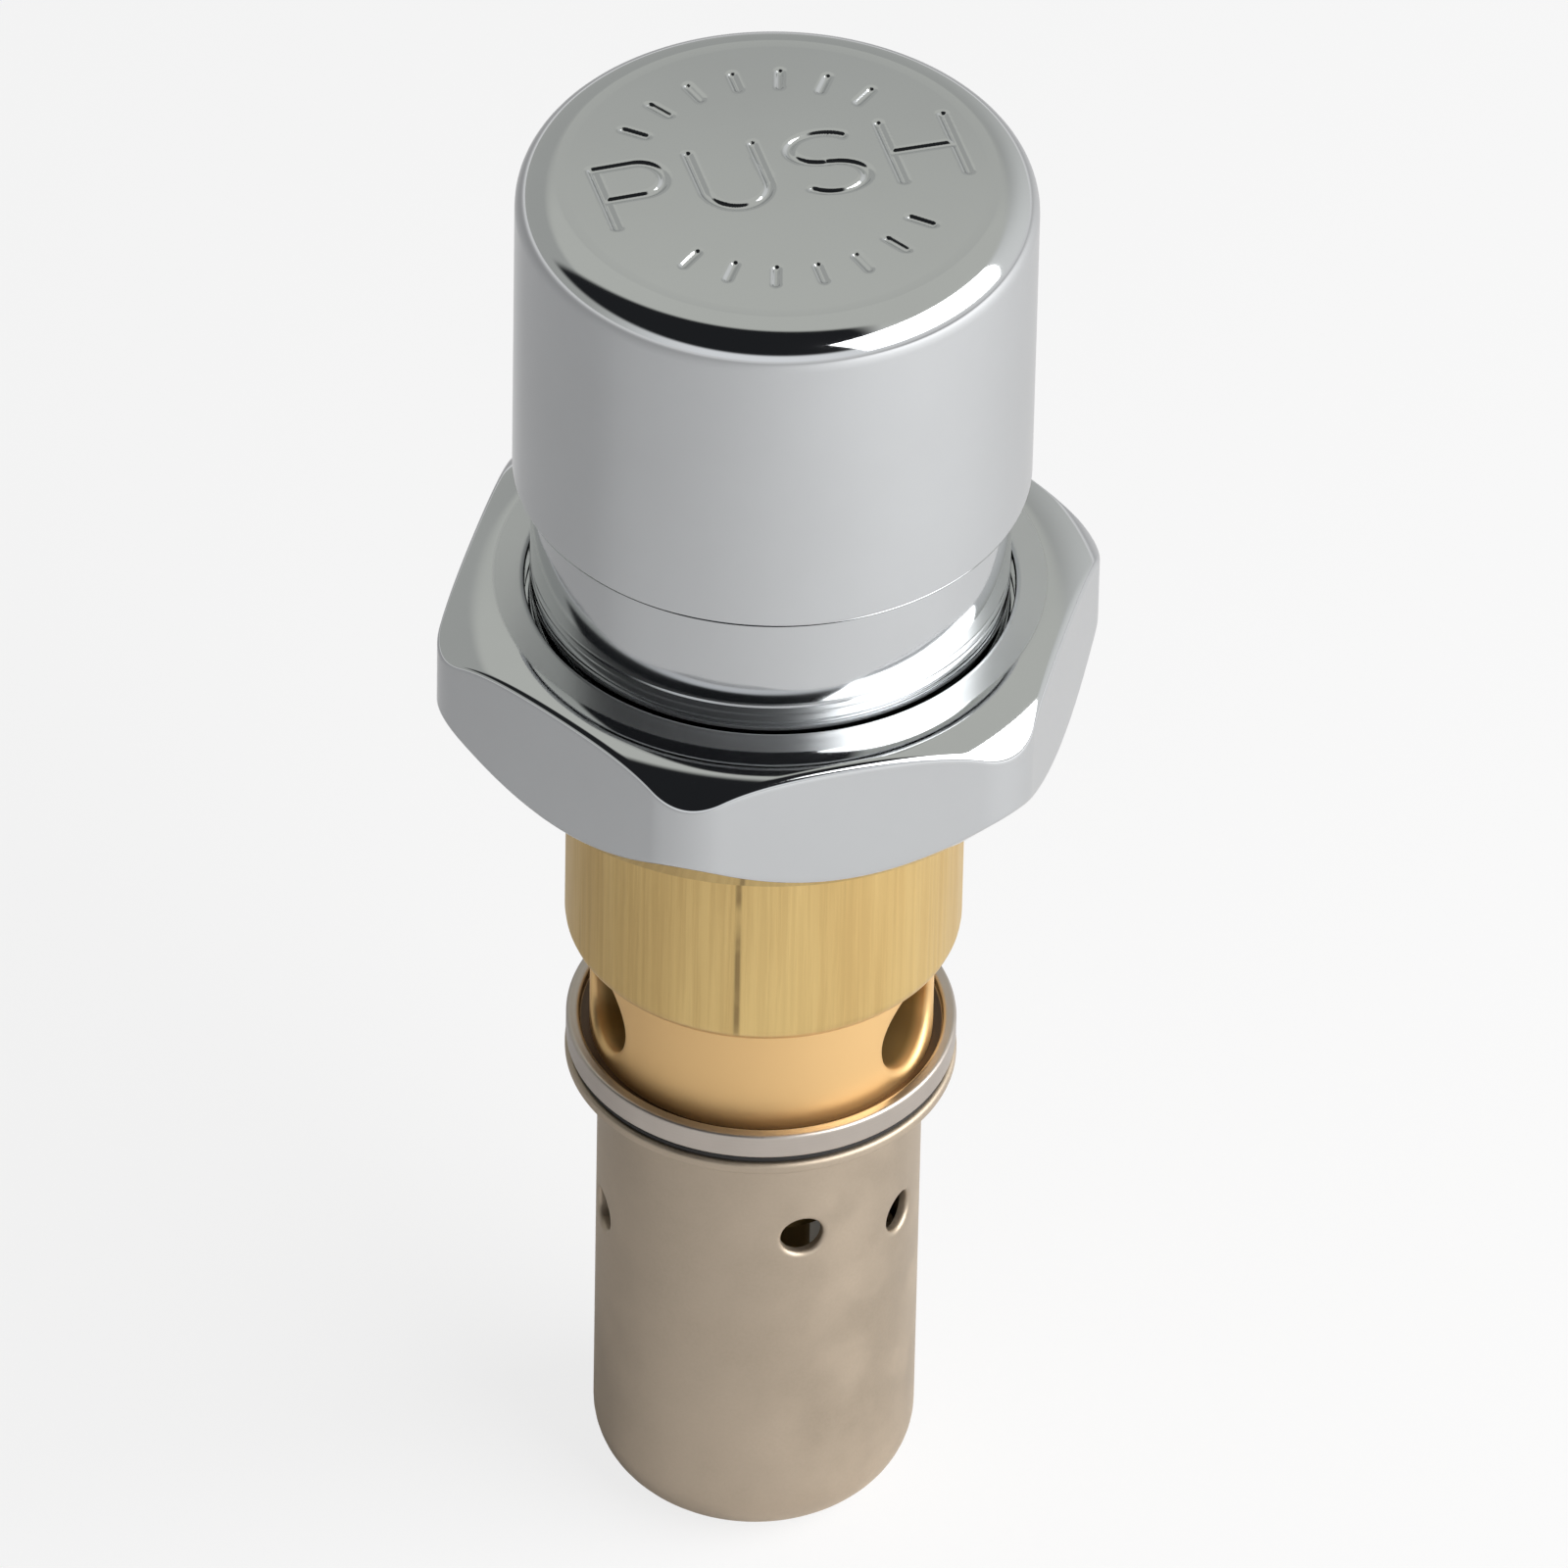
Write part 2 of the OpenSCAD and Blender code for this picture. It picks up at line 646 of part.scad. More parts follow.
// Plastic piston with a groove for its lip seal and a hole for the bleed jet
module piston() {
    groove_z = (piston_h - piston_seal_h) / 2;
    color(acetal_c) difference() {
        ring(piston_r, nut_bore_r, piston_foot_z, piston_h);
        ring(piston_r + cut, seal_r - piston_seal_w - slip_clear, piston_foot_z + groove_z - slip_clear,
            piston_seal_h + 2 * slip_clear);
        translate([jet_offset, 0, piston_foot_z - cut]) cylinder(d = jet_d + 2 * slip_clear, h = piston_h + 2 * cut);
    }
}

// Rubber lip seal, open upwards, that runs in the cup
module piston_seal() {
    seal_foot_z = piston_foot_z + (piston_h - piston_seal_h) / 2;
    seal_bore_r = seal_r - piston_seal_w;
    color(rubber_c) rotate_extrude() polygon([
        [seal_bore_r, seal_foot_z], [seal_r - piston_clear, seal_foot_z],
        [seal_r, seal_foot_z + piston_seal_h], [seal_r - piston_seal_w / 4, seal_foot_z + piston_seal_h],
        [seal_r - piston_seal_w / 2, seal_foot_z + piston_seal_h / 2],
        [seal_bore_r + piston_seal_w / 4, seal_foot_z + piston_seal_h],
        [seal_bore_r, seal_foot_z + piston_seal_h]
    ]);
}

// Brass jet that lets water creep past the piston
module bleed_jet() {
    color(brass_c) translate([jet_offset, 0, 0]) ring(jet_d / 2, jet_bore_d / 2, piston_foot_z, piston_h);
}

// Nut that holds the piston on the stem
module piston_nut() {
    color(steel_c) hex_nut(nut_m4_af, nut_bore_r, piston_nut_foot_z, piston_nut_h);
}

timing_cup();
flange_gasket();
clamp_ring();
valve_body();
valve_seat();
bonnet_sleeve();
bonnet_gasket();
wiper_ring();
stem_orings();
oring_spacer();
gland_bush();
gland_circlip();
spring_seat();
return_spring();
cap_nut();
push_button();
button_locknut();
stem();
washer_plate();
valve_washer();
washer_holder();
holder_nut();
piston_spacer();
piston();
piston_seal();
bleed_jet();
piston_nut();
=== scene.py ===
"""Dressed model of a push-button metering cartridge that stands on its timing cup.

Lengths are in metres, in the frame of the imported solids: +Z runs along the axis towards the button and -Y
faces the front. A bearing is an angle about Z that starts at the front and grows towards +X.
"""
import json
import logging
import math
from dataclasses import dataclass, field
from enum import Enum
from functools import lru_cache, reduce

import bpy
import numpy as np
from mathutils import Matrix, Vector


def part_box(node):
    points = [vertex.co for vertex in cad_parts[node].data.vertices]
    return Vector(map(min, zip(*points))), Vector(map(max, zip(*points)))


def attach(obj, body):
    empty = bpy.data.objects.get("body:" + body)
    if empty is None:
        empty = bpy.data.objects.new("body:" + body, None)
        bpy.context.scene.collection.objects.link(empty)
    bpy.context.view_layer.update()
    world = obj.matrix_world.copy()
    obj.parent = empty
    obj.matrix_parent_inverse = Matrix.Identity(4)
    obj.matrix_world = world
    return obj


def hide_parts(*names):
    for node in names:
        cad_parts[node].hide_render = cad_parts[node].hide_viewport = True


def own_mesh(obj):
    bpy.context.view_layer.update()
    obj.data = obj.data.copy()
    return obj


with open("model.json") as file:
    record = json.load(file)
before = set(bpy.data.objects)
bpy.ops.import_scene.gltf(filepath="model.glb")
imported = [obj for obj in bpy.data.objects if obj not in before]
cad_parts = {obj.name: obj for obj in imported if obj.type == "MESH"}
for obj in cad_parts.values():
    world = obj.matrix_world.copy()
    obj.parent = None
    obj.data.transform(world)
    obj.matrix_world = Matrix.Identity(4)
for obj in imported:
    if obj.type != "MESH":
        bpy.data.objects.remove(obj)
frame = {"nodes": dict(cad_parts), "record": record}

LOG = logging.getLogger("cartridge")
MM = 0.001
WELD = 0.0005 * MM  # grid that points are rounded to when a mesh is welded
GUARD = 0.05 * MM  # distance of the guard points from a rounded edge
CORE = 0.1 * MM  # least distance from the axis at which a direction is taken
Array = np.ndarray
Pair = tuple[float, float]
Colour = tuple[float, float, float, float]
Socket = bpy.types.NodeSocket
RISE: Pair = (0.0, 1.0)  # a mask that grows along its range
FALL: Pair = (1.0, 0.0)  # a mask that fades along its range
NOISE: Pair = (0.3, 0.7)  # range of values that noise mostly keeps to


class Body(Enum):
    """Bodies of the assembly that move against each other."""

    CARTRIDGE = "cartridge"
    NUT = "nut"
    PLUNGER = "plunger"


class Slot(Enum):
    """Material slots of the record."""

    CHROME = "chrome_plate"
    BRASS = "turned_brass"
    SATIN_NICKEL = "satin_nickel"
    BRIGHT_NICKEL = "bright_nickel"
    STEEL = "stainless_steel"
    RUBBER = "black_rubber"
    FIBRE = "red_fibre"
    ACETAL = "white_acetal"


class Ray(Enum):
    """Kinds of light path that the surroundings answer in their own way."""

    CAMERA = "Is Camera Ray"
    GLOSSY = "Is Glossy Ray"
    TRANSMISSION = "Is Transmission Ray"


def reach(node: str) -> tuple[float, float, float]:
    """Outer radius, foot and top of a turned CAD node, read from its box."""
    low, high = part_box(node)
    return high.x, low.z, high.z


def smooth_step(low: float, high: float, value: Array) -> Array:
    """Rise from 0 at low to 1 at high along 3t^2 - 2t^3."""
    t = np.clip((value - low) / (high - low), 0, 1)
    return t * t * (3 - 2 * t)


@dataclass
class Shell:
    """Points and four-sided cells of a mesh while it is put together.

    Attributes:
        points: places of the points, shape (n, 3).
        cells: indices of each cell's corners, shape (m, 4), counter-clockwise from outside.
    """

    points: Array
    cells: Array

    @classmethod
    def over(
        cls, grid: Array, close_u: bool = True, close_v: bool = False, keep: Array | None = None
    ) -> "Shell":
        """Skin a grid of points.

        Cell (i, j) joins the points (i, j), (i+1, j), (i+1, j+1) and (i, j+1). A closed direction joins its
        last row to its first.

        Args:
            grid: points, shape (rows, columns, 3).
            close_u: whether the rows close on themselves.
            close_v: whether the columns close on themselves.
            keep: which cells are skinned, or all of them.

        Returns:
            The skin as a shell.
        """
        rows, columns = grid.shape[:2]
        i, j = np.meshgrid(
            np.arange(rows if close_u else rows - 1),
            np.arange(columns if close_v else columns - 1),
            indexing="ij",
        )
        beside, above = (i + 1) % rows, (j + 1) % columns
        cells = np.stack(
            [i * columns + j, beside * columns + j, beside * columns + above, i * columns + above], axis=-1
        )
        cells = cells.reshape(-1, 4) if keep is None else cells[keep]
        return cls(grid.reshape(-1, 3), cells)

    def __add__(self, other: "Shell") -> "Shell":
        """Both shells, side by side."""
        cells = np.vstack([self.cells, other.cells + len(self.points)])
        return Shell(np.vstack([self.points, other.points]), cells)

    def flipped(self) -> "Shell":
        """The same shell with its other side out."""
        return Shell(self.points, self.cells[:, ::-1])

    def mesh(self, name: str, crease: float) -> bpy.types.Mesh:
        """Weld the shell and make a mesh of it.

        Points that round to the same place become one. A cell that lost one edge is a triangle, and one
        that lost more is left out, which closes seams and poles.

        Args:
            name: name of the mesh.
            crease: angle in radians past which an edge stays sharp.

        Returns:
            The mesh, smooth apart from its creases.
        """
        places = np.round(self.points / WELD).astype(np.int64)
        _, first, where = np.unique(places, axis=0, return_index=True, return_inverse=True)
        cells = where.reshape(-1)[self.cells]
        lost = cells == np.roll(cells, -1, axis=1)
        thin = lost.sum(axis=1) == 1
        whole, triangles = cells[~lost.any(axis=1)], cells[thin][~lost[thin]]
        used, numbers = np.unique(np.concatenate([whole.ravel(), triangles]), return_inverse=True)
        four, three = np.split(numbers.reshape(-1), [whole.size])
        faces = four.reshape(-1, 4).tolist() + three.reshape(-1, 3).tolist()
        mesh = bpy.data.meshes.new(name)
        mesh.from_pydata(self.points[first[used]].tolist(), [], faces)
        mesh.shade_smooth()
        mesh.set_sharp_from_angle(angle=crease)
        return mesh


def full_turn(count: int) -> Array:
    """Even angles round the axis, starting at the front."""
    return -math.pi / 2 + np.linspace(0, 2 * math.pi, count, endpoint=False)


def wound(radius: Array, turn: Array, height: Array) -> Array:
    """Places at a distance from the axis, an angle about it and a height."""
    return np.stack(np.broadcast_arrays(radius * np.cos(turn), radius * np.sin(turn), height), axis=-1)


def rounded(corners: Array, rounds: Array, steps: int, closed: bool = True, guard: float = GUARD) -> Array:
    """Round the corners of an outline.

    At a corner P with unit directions a and b towards its neighbours, an arc of radius r touches both sides
    r / tan(half the angle) away from P. Its middle lies r / sin(half the angle) from P along a + b, and its
    points swing about that middle from one touching point to the other. A guard point just before and after
    each arc keeps the straight stretch beside it flat under smooth shading.

    Args:
        corners: corners of the outline as (radius, height), shape (..., n, 2).
        rounds: radius at each corner, shape (n,).
        steps: points on each arc.
        closed: whether the last corner joins the first; the ends of an open outline stay sharp.
        guard: distance of the guard points from their arc.

    Returns:
        Points of the rounded outline, shape (..., points, 2).
    """
    first, last = corners[..., :1, :], corners[..., -1:, :]
    before, after = np.roll(corners, 1, axis=-2), np.roll(corners, -1, axis=-2)
    radius = np.array(rounds, float)[:, None]
    if not closed:
        corners, before, after = (places[..., 1:-1, :] for places in (corners, before, after))
        radius = radius[1:-1]
    a, b = before - corners, after - corners
    a, b = (side / np.linalg.norm(side, axis=-1, keepdims=True) for side in (a, b))
    half = np.arccos(np.clip((a * b).sum(-1, keepdims=True), -1, 1)) / 2
    touch_a, touch_b = (corners + side * radius / np.tan(half) for side in (a, b))
    along = (a + b) / np.linalg.norm(a + b, axis=-1, keepdims=True)
    middle = corners + along * radius / np.sin(half)
    turn = (math.pi - 2 * half)[..., None, :]
    share = np.linspace(0, 1, steps)[:, None]
    start, end = (touch_a - middle)[..., None, :], (touch_b - middle)[..., None, :]
    swung = (np.sin((1 - share) * turn) * start + np.sin(share * turn) * end) / np.sin(turn)
    guard_a, guard_b = (touch_a + a * guard)[..., None, :], (touch_b + b * guard)[..., None, :]
    points = np.concatenate([guard_a, middle[..., None, :] + swung, guard_b], axis=-2)
    points = points.reshape(*points.shape[:-3], -1, 2)
    return points if closed else np.concatenate([first, points, last], axis=-2)


def revolve(outline: Array, angles: Array, closed: bool = True) -> Shell:
    """Turn an outline about Z: the point (r, z) at angle a goes to (r cos a, r sin a, z).

    Args:
        outline: points, shape (n, 2), or (angles, n, 2) where the outline changes round the axis.
        angles: angles of the turn.
        closed: whether the outline closes on itself.

    Returns:
        The turned shell, outside out when the outline runs up its outer wall.
    """
    return Shell.over(wound(outline[..., 0], angles[:, None], outline[..., 1]), close_v=closed)


def turned(corners: Array, rounds: Array, steps: int, angles: Array, closed: bool = False) -> Shell:
    """Round the corners of an outline and turn it about Z."""
    return revolve(rounded(corners, rounds, steps, closed), angles, closed)


@dataclass(frozen=True)
class Port:
    """Round hole through a wall, square to the axis.

    Attributes:
        bearing: bearing of the hole in degrees.
        height: height of its middle.
        radius: radius of the hole.
        bevel: width of the worn bevel round its mouth.
    """

    bearing: float
    height: float
    radius: float
    bevel: float


@dataclass(frozen=True)
class PortedWall:
    """Round wall between two radii with ports through it.

    Attributes:
        outer: outer radius.
        inner: inner radius.
        angles: even angles round the axis; each port's bearing lies on one of them.
        heights: heights of the wall's rows.
        ports: the holes.
        spread: how many angles a port's patch reaches to each side.
        rows: lowest and highest row of each port's patch.
        rings: rings of points from the edge of a patch to its port.
        bevel_steps: rings of points down a bevel.
    """

    outer: float
    inner: float
    angles: Array
    heights: Array
    ports: tuple[Port, ...]
    spread: int
    rows: tuple[tuple[int, int], ...]
    rings: int = 8
    bevel_steps: int = 4

    def shell(self) -> Shell:
        """Outer wall, inner wall and the ports between them."""
        keep = np.ones((len(self.angles), len(self.heights) - 1), bool)
        skin = Shell(np.zeros((0, 3)), np.zeros((0, 4), int))
        for port, (low, high) in zip(self.ports, self.rows):
            middle = self._middle(port)
            columns = np.arange(middle - self.spread, middle + self.spread) % len(self.angles)
            keep[np.ix_(columns, np.arange(low, high))] = False
            skin = skin + self._port(port, middle, low, high)
        outer, inner = (
            Shell.over(wound(radius, self.angles[:, None], self.heights), keep=keep)
            for radius in (self.outer, self.inner)
        )
        return skin + outer + inner.flipped()

    def _middle(self, port: Port) -> int:
        """Index of the angle that a port lies on."""
        return round(port.bearing / 360 * len(self.angles)) % len(self.angles)

    def _port(self, port: Port, middle: int, low: int, high: int) -> Shell:
        """Patch round a port on both walls, and the tube between them.

        Seen along the port, the edge of its patch is a box and its mouth a circle. Ring s of the patch lies
        at (1 - s) times the box plus s times the circle, and is laid on the wall at arcsin(x / radius).

        Args:
            port: the hole.
            middle: index of its angle.
            low: lowest row of its patch.
            high: highest row of its patch.

        Returns:
            The patches, the worn bevel and the tube as one shell.
        """
        side, rise = self.spread, high - low
        column = np.concatenate(
            [np.arange(-side, side), np.full(rise, side), np.arange(side, -side, -1), np.full(rise, -side)]
        )
        foot, head = np.full(2 * side, low), np.full(2 * side, high)
        row = np.concatenate([foot, np.arange(low, high), head, np.arange(high, low, -1)])
        offset = column * 2 * math.pi / len(self.angles)
        lift = self.heights[row] - port.height
        round_port = np.arctan2(lift, self.outer * np.sin(offset))
        circle = np.stack([np.cos(round_port), np.sin(round_port)], axis=-1)

        def laid(radius: float, plane: Array, sunk: float = 0.0) -> Array:
            """Lay points seen along the port on a round wall, sunk along the port."""
            across, up = plane[..., 0], plane[..., 1]
            depth = np.sqrt(radius**2 - across**2) - sunk
            turn = self.angles[middle]
            x = depth * math.cos(turn) - across * math.sin(turn)
            y = depth * math.sin(turn) + across * math.cos(turn)
            return np.stack([x, y, port.height + up], axis=-1)

        def patch(radius: float, hole: float) -> Array:
            """Rings from the box to the mouth of the port."""
            box = np.stack([radius * np.sin(offset), lift], axis=-1)
            share = np.linspace(0, 1, self.rings)[:, None, None]
            return laid(radius, (1 - share) * box + share * hole * circle)

        worn = []
        for slope in np.linspace(0, math.pi / 2, self.bevel_steps + 1)[1:]:
            hole = port.radius + port.bevel * (1 - math.sin(slope))
            worn.append(laid(self.outer, hole * circle, port.bevel * (1 - math.cos(slope))))
        outside = patch(self.outer, port.radius + port.bevel)
        inside = patch(self.inner, port.radius)[::-1]
        return Shell.over(np.concatenate([outside, worn, inside]).transpose(1, 0, 2))


class Board:
    """Places and wires the nodes of one node tree."""

    def __init__(self, tree: bpy.types.NodeTree) -> None:
        """Work on a tree."""
        self.tree = tree

    def add(self, kind: str, **settings: object) -> bpy.types.Node:
        """Add a node and set its own properties."""
        node = self.tree.nodes.new(kind)
        for name, value in settings.items():
            setattr(node, name, value)
        return node

    def feed(self, node: bpy.types.Node, socket: str | int, value: object) -> None:
        """Wire a socket to an input, or set the input to a plain value."""
        if isinstance(value, bpy.types.NodeSocket):
            self.tree.links.new(value, node.inputs[socket])
        else:
            node.inputs[socket].default_value = value

    def fill(self, node: bpy.types.Node, **values: object) -> bpy.types.Node:
        """Feed several inputs; an underscore in a keyword stands for a blank in the input's name."""
        for name, value in values.items():
            self.feed(node, name.replace("_", " "), value)
        return node

    def sum_up(self, operation: str, *values: object) -> Socket:
        """Result of a Math node."""
        node = self.add("ShaderNodeMath", operation=operation)
        for index, value in enumerate(values):
            self.feed(node, index, value)
        return node.outputs[0]

    def product(self, *values: object) -> Socket:
        """Product of two or more values."""
        return reduce(lambda left, right: self.sum_up("MULTIPLY", left, right), values)

    def span(self, value: Socket, source: Pair, target: Pair) -> Socket:
        """Move a value smoothly from one range to another, held at its ends."""
        node = self.add("ShaderNodeMapRange", interpolation_type="SMOOTHSTEP")
        self.fill(node, From_Min=source[0], From_Max=source[1], To_Min=target[0], To_Max=target[1])
        return self.fill(node, Value=value).outputs["Result"]

    def blend(self, share: object, low: object, high: object) -> Socket:
        """Colour between low and high."""
        node = self.add("ShaderNodeMix", data_type="RGBA")
        for index, value in zip((0, 6, 7), (share, low, high)):
            self.feed(node, index, value)
        return node.outputs[2]

    def parts(self, vector: Socket) -> tuple[Socket, Socket, Socket]:
        """X, Y and Z of a vector."""
        node = self.add("ShaderNodeSeparateXYZ")
        self.feed(node, 0, vector)
        return node.outputs[0], node.outputs[1], node.outputs[2]

    def radius(self, place: Socket) -> Socket:
        """Distance of a place from the axis."""
        x, y, _ = self.parts(place)
        return self.sum_up("SQRT", self.sum_up("ADD", self.product(x, x), self.product(y, y)))

    def vector(self, x: object, y: object, z: object) -> Socket:
        """Vector of three values."""
        return self.fill(self.add("ShaderNodeCombineXYZ"), X=x, Y=y, Z=z).outputs[0]

    def noise(self, vector: Socket, scale: object, detail: float, roughness: float = 0.55) -> Socket:
        """Factor of a Noise texture."""
        node = self.add("ShaderNodeTexNoise")
        return self.fill(node, Vector=vector, Scale=scale, Detail=detail, Roughness=roughness).outputs[0]

    def group(self, tree: bpy.types.NodeTree, **values: object) -> bpy.types.Node:
        """Place a node group and feed its inputs."""
        return self.fill(self.add("ShaderNodeGroup", node_tree=tree), **values)

    def bump(self, height: Socket, strength: float, distance: float) -> Socket:
        """Normal of a Bump node."""
        node = self.add("ShaderNodeBump")
        return self.fill(node, Strength=strength, Distance=distance, Height=height).outputs[0]


def new_group(
    name: str, inputs: dict[str, float | None], outputs: tuple[str, ...]
) -> tuple[Board, bpy.types.Node, bpy.types.Node]:
    """Start a shader node group.

    Args:
        name: name of the group.
        inputs: value of each number input; None makes a vector input.
        outputs: names of its number outputs.

    Returns:
        A board for its tree, and its input and output nodes.
    """
    tree = bpy.data.node_groups.new(name, "ShaderNodeTree")
    for label, value in inputs.items():
        kind = "NodeSocketVector" if value is None else "NodeSocketFloat"
        socket = tree.interface.new_socket(name=label, in_out="INPUT", socket_type=kind)
        if value is not None:
            socket.default_value = value
    for label in outputs:
        tree.interface.new_socket(name=label, in_out="OUTPUT", socket_type="NodeSocketFloat")
    board = Board(tree)
    return board, board.add("NodeGroupInput"), board.add("NodeGroupOutput")


@lru_cache
def mottle_group() -> bpy.types.NodeTree:
    """Uneven tone of a handled surface: a broad cloud and a fine grain, both noise in space."""
    inputs = {"Vector": None, "Cloud Size": 4.0, "Grain Size": 0.15}
    board, source, sink = new_group("mottle", inputs, ("Cloud", "Grain"))
    for size, label, detail in (("Cloud Size", "Cloud", 3.0), ("Grain Size", "Grain", 2.0)):
        scale = board.sum_up("DIVIDE", 1 / MM, source.outputs[size])
        board.feed(sink, label, board.noise(source.outputs["Vector"], scale, detail))
    return board.tree


@lru_cache
def drawn_group() -> bpy.types.NodeTree:
    """Streaks along the axis of a drawn bar: noise of the direction from the axis, stretched along Z."""
    inputs = {"Vector": None, "Streaks": 14.0, "Length": 30.0}
    board, source, sink = new_group("drawn_streaks", inputs, ("Broad", "Fine"))
    vector = source.outputs["Vector"]
    x, y, z = board.parts(vector)
    radius = board.sum_up("MAXIMUM", board.radius(vector), CORE)
    along = board.sum_up("DIVIDE", z, board.product(source.outputs["Length"], MM))
    around = [board.sum_up("DIVIDE", value, radius) for value in (x, y)]
    for label, times, stretch, detail in (("Broad", 0.35, 1.0, 2.0), ("Fine", 3.0, 3.0, 4.0)):
        scale = board.product(source.outputs["Streaks"], times)
        place = board.vector(*around, board.sum_up("DIVIDE", along, stretch))
        board.feed(sink, label, board.noise(place, scale, detail, roughness=0.6))
    return board.tree


@lru_cache
def lathe_group() -> bpy.types.NodeTree:
    """Fine turned rings: noise of the height plus the distance from the axis."""
    board, source, sink = new_group("lathe_rings", {"Vector": None, "Ring Width": 0.12}, ("Rings",))
    vector = source.outputs["Vector"]
    along = board.sum_up("ADD", board.radius(vector), board.parts(vector)[2])
    scale = board.sum_up("DIVIDE", 1 / MM, source.outputs["Ring Width"])
    board.feed(sink, "Rings", board.noise(board.vector(0.0, 0.0, along), scale, 2.0))
    return board.tree


@dataclass(frozen=True)
class Finish:
    """Base of the finishes: a procedural material on a piece's own coordinates.

    Attributes:
        slot: slot of the record that the finish belongs to.
        colour: main colour.
        shade: colour of its darker places.
        rough: lowest and highest roughness.
    """

    slot: Slot
    colour: Colour
    shade: Colour
    rough: Pair

    @lru_cache
    def material(self) -> bpy.types.Material:
        """Make the material once; every piece of the slot shares it."""
        material = bpy.data.materials.new(f"{self.slot.value}_finish")
        material.use_nodes = True
        board = Board(material.node_tree)
        shader = material.node_tree.nodes["Principled BSDF"]
        place = board.add("ShaderNodeTexCoord").outputs["Object"]
        self.wire(board, shader, place)
        material.diffuse_color = self.colour
        return material

    def wire(self, board: Board, shader: bpy.types.Node, place: Socket) -> None:
        """Wire the finish into its shader."""
        raise NotImplementedError


@dataclass(frozen=True)
class PolishedChrome(Finish):
    """Mirror plate with a faint cloud of handling and the long waves of hand polishing.

    Attributes:
        cloud: size of the handling cloud in millimetres.
        cloud_range: tones of the cloud between which the roughness rises.
        wave_height: height of the polish waves.
        wave_strength: how much of their slope shows.
        land: height and radius of the nut's land, which is left as turned.
        land_fade: near and far end of the change from the land to the polish.
        land_rough: roughness of that land.
    """

    cloud: float = 7.0
    cloud_range: Pair = (0.3, 0.75)
    wave_height: float = 0.0015 * MM
    wave_strength: float = 0.25
    land: Pair = (68.6 * MM, 16.4 * MM)
    land_fade: Pair = (0.1 * MM, 0.2 * MM)
    land_rough: float = 0.36

    def wire(self, board: Board, shader: bpy.types.Node, place: Socket) -> None:
        """Colour and roughness follow the cloud; the polish waves are a shallow bump."""
        cloud = board.group(mottle_group(), Vector=place, Cloud_Size=self.cloud).outputs["Cloud"]
        height, radius = self.land
        near, far = self.land_fade
        off = board.sum_up("ABSOLUTE", board.sum_up("SUBTRACT", board.parts(place)[2], height))
        level = board.span(off, self.land_fade, (self.land_rough, 0.0))
        within = board.span(board.radius(place), (radius - far, radius + near), FALL)
        rough = board.span(cloud, self.cloud_range, self.rough)
        board.fill(
            shader,
            Base_Color=board.blend(cloud, self.shade, self.colour),
            Roughness=board.sum_up("MAXIMUM", rough, board.product(level, within)),
            Metallic=1.0,
            Normal=board.bump(cloud, self.wave_strength, self.wave_height),
        )


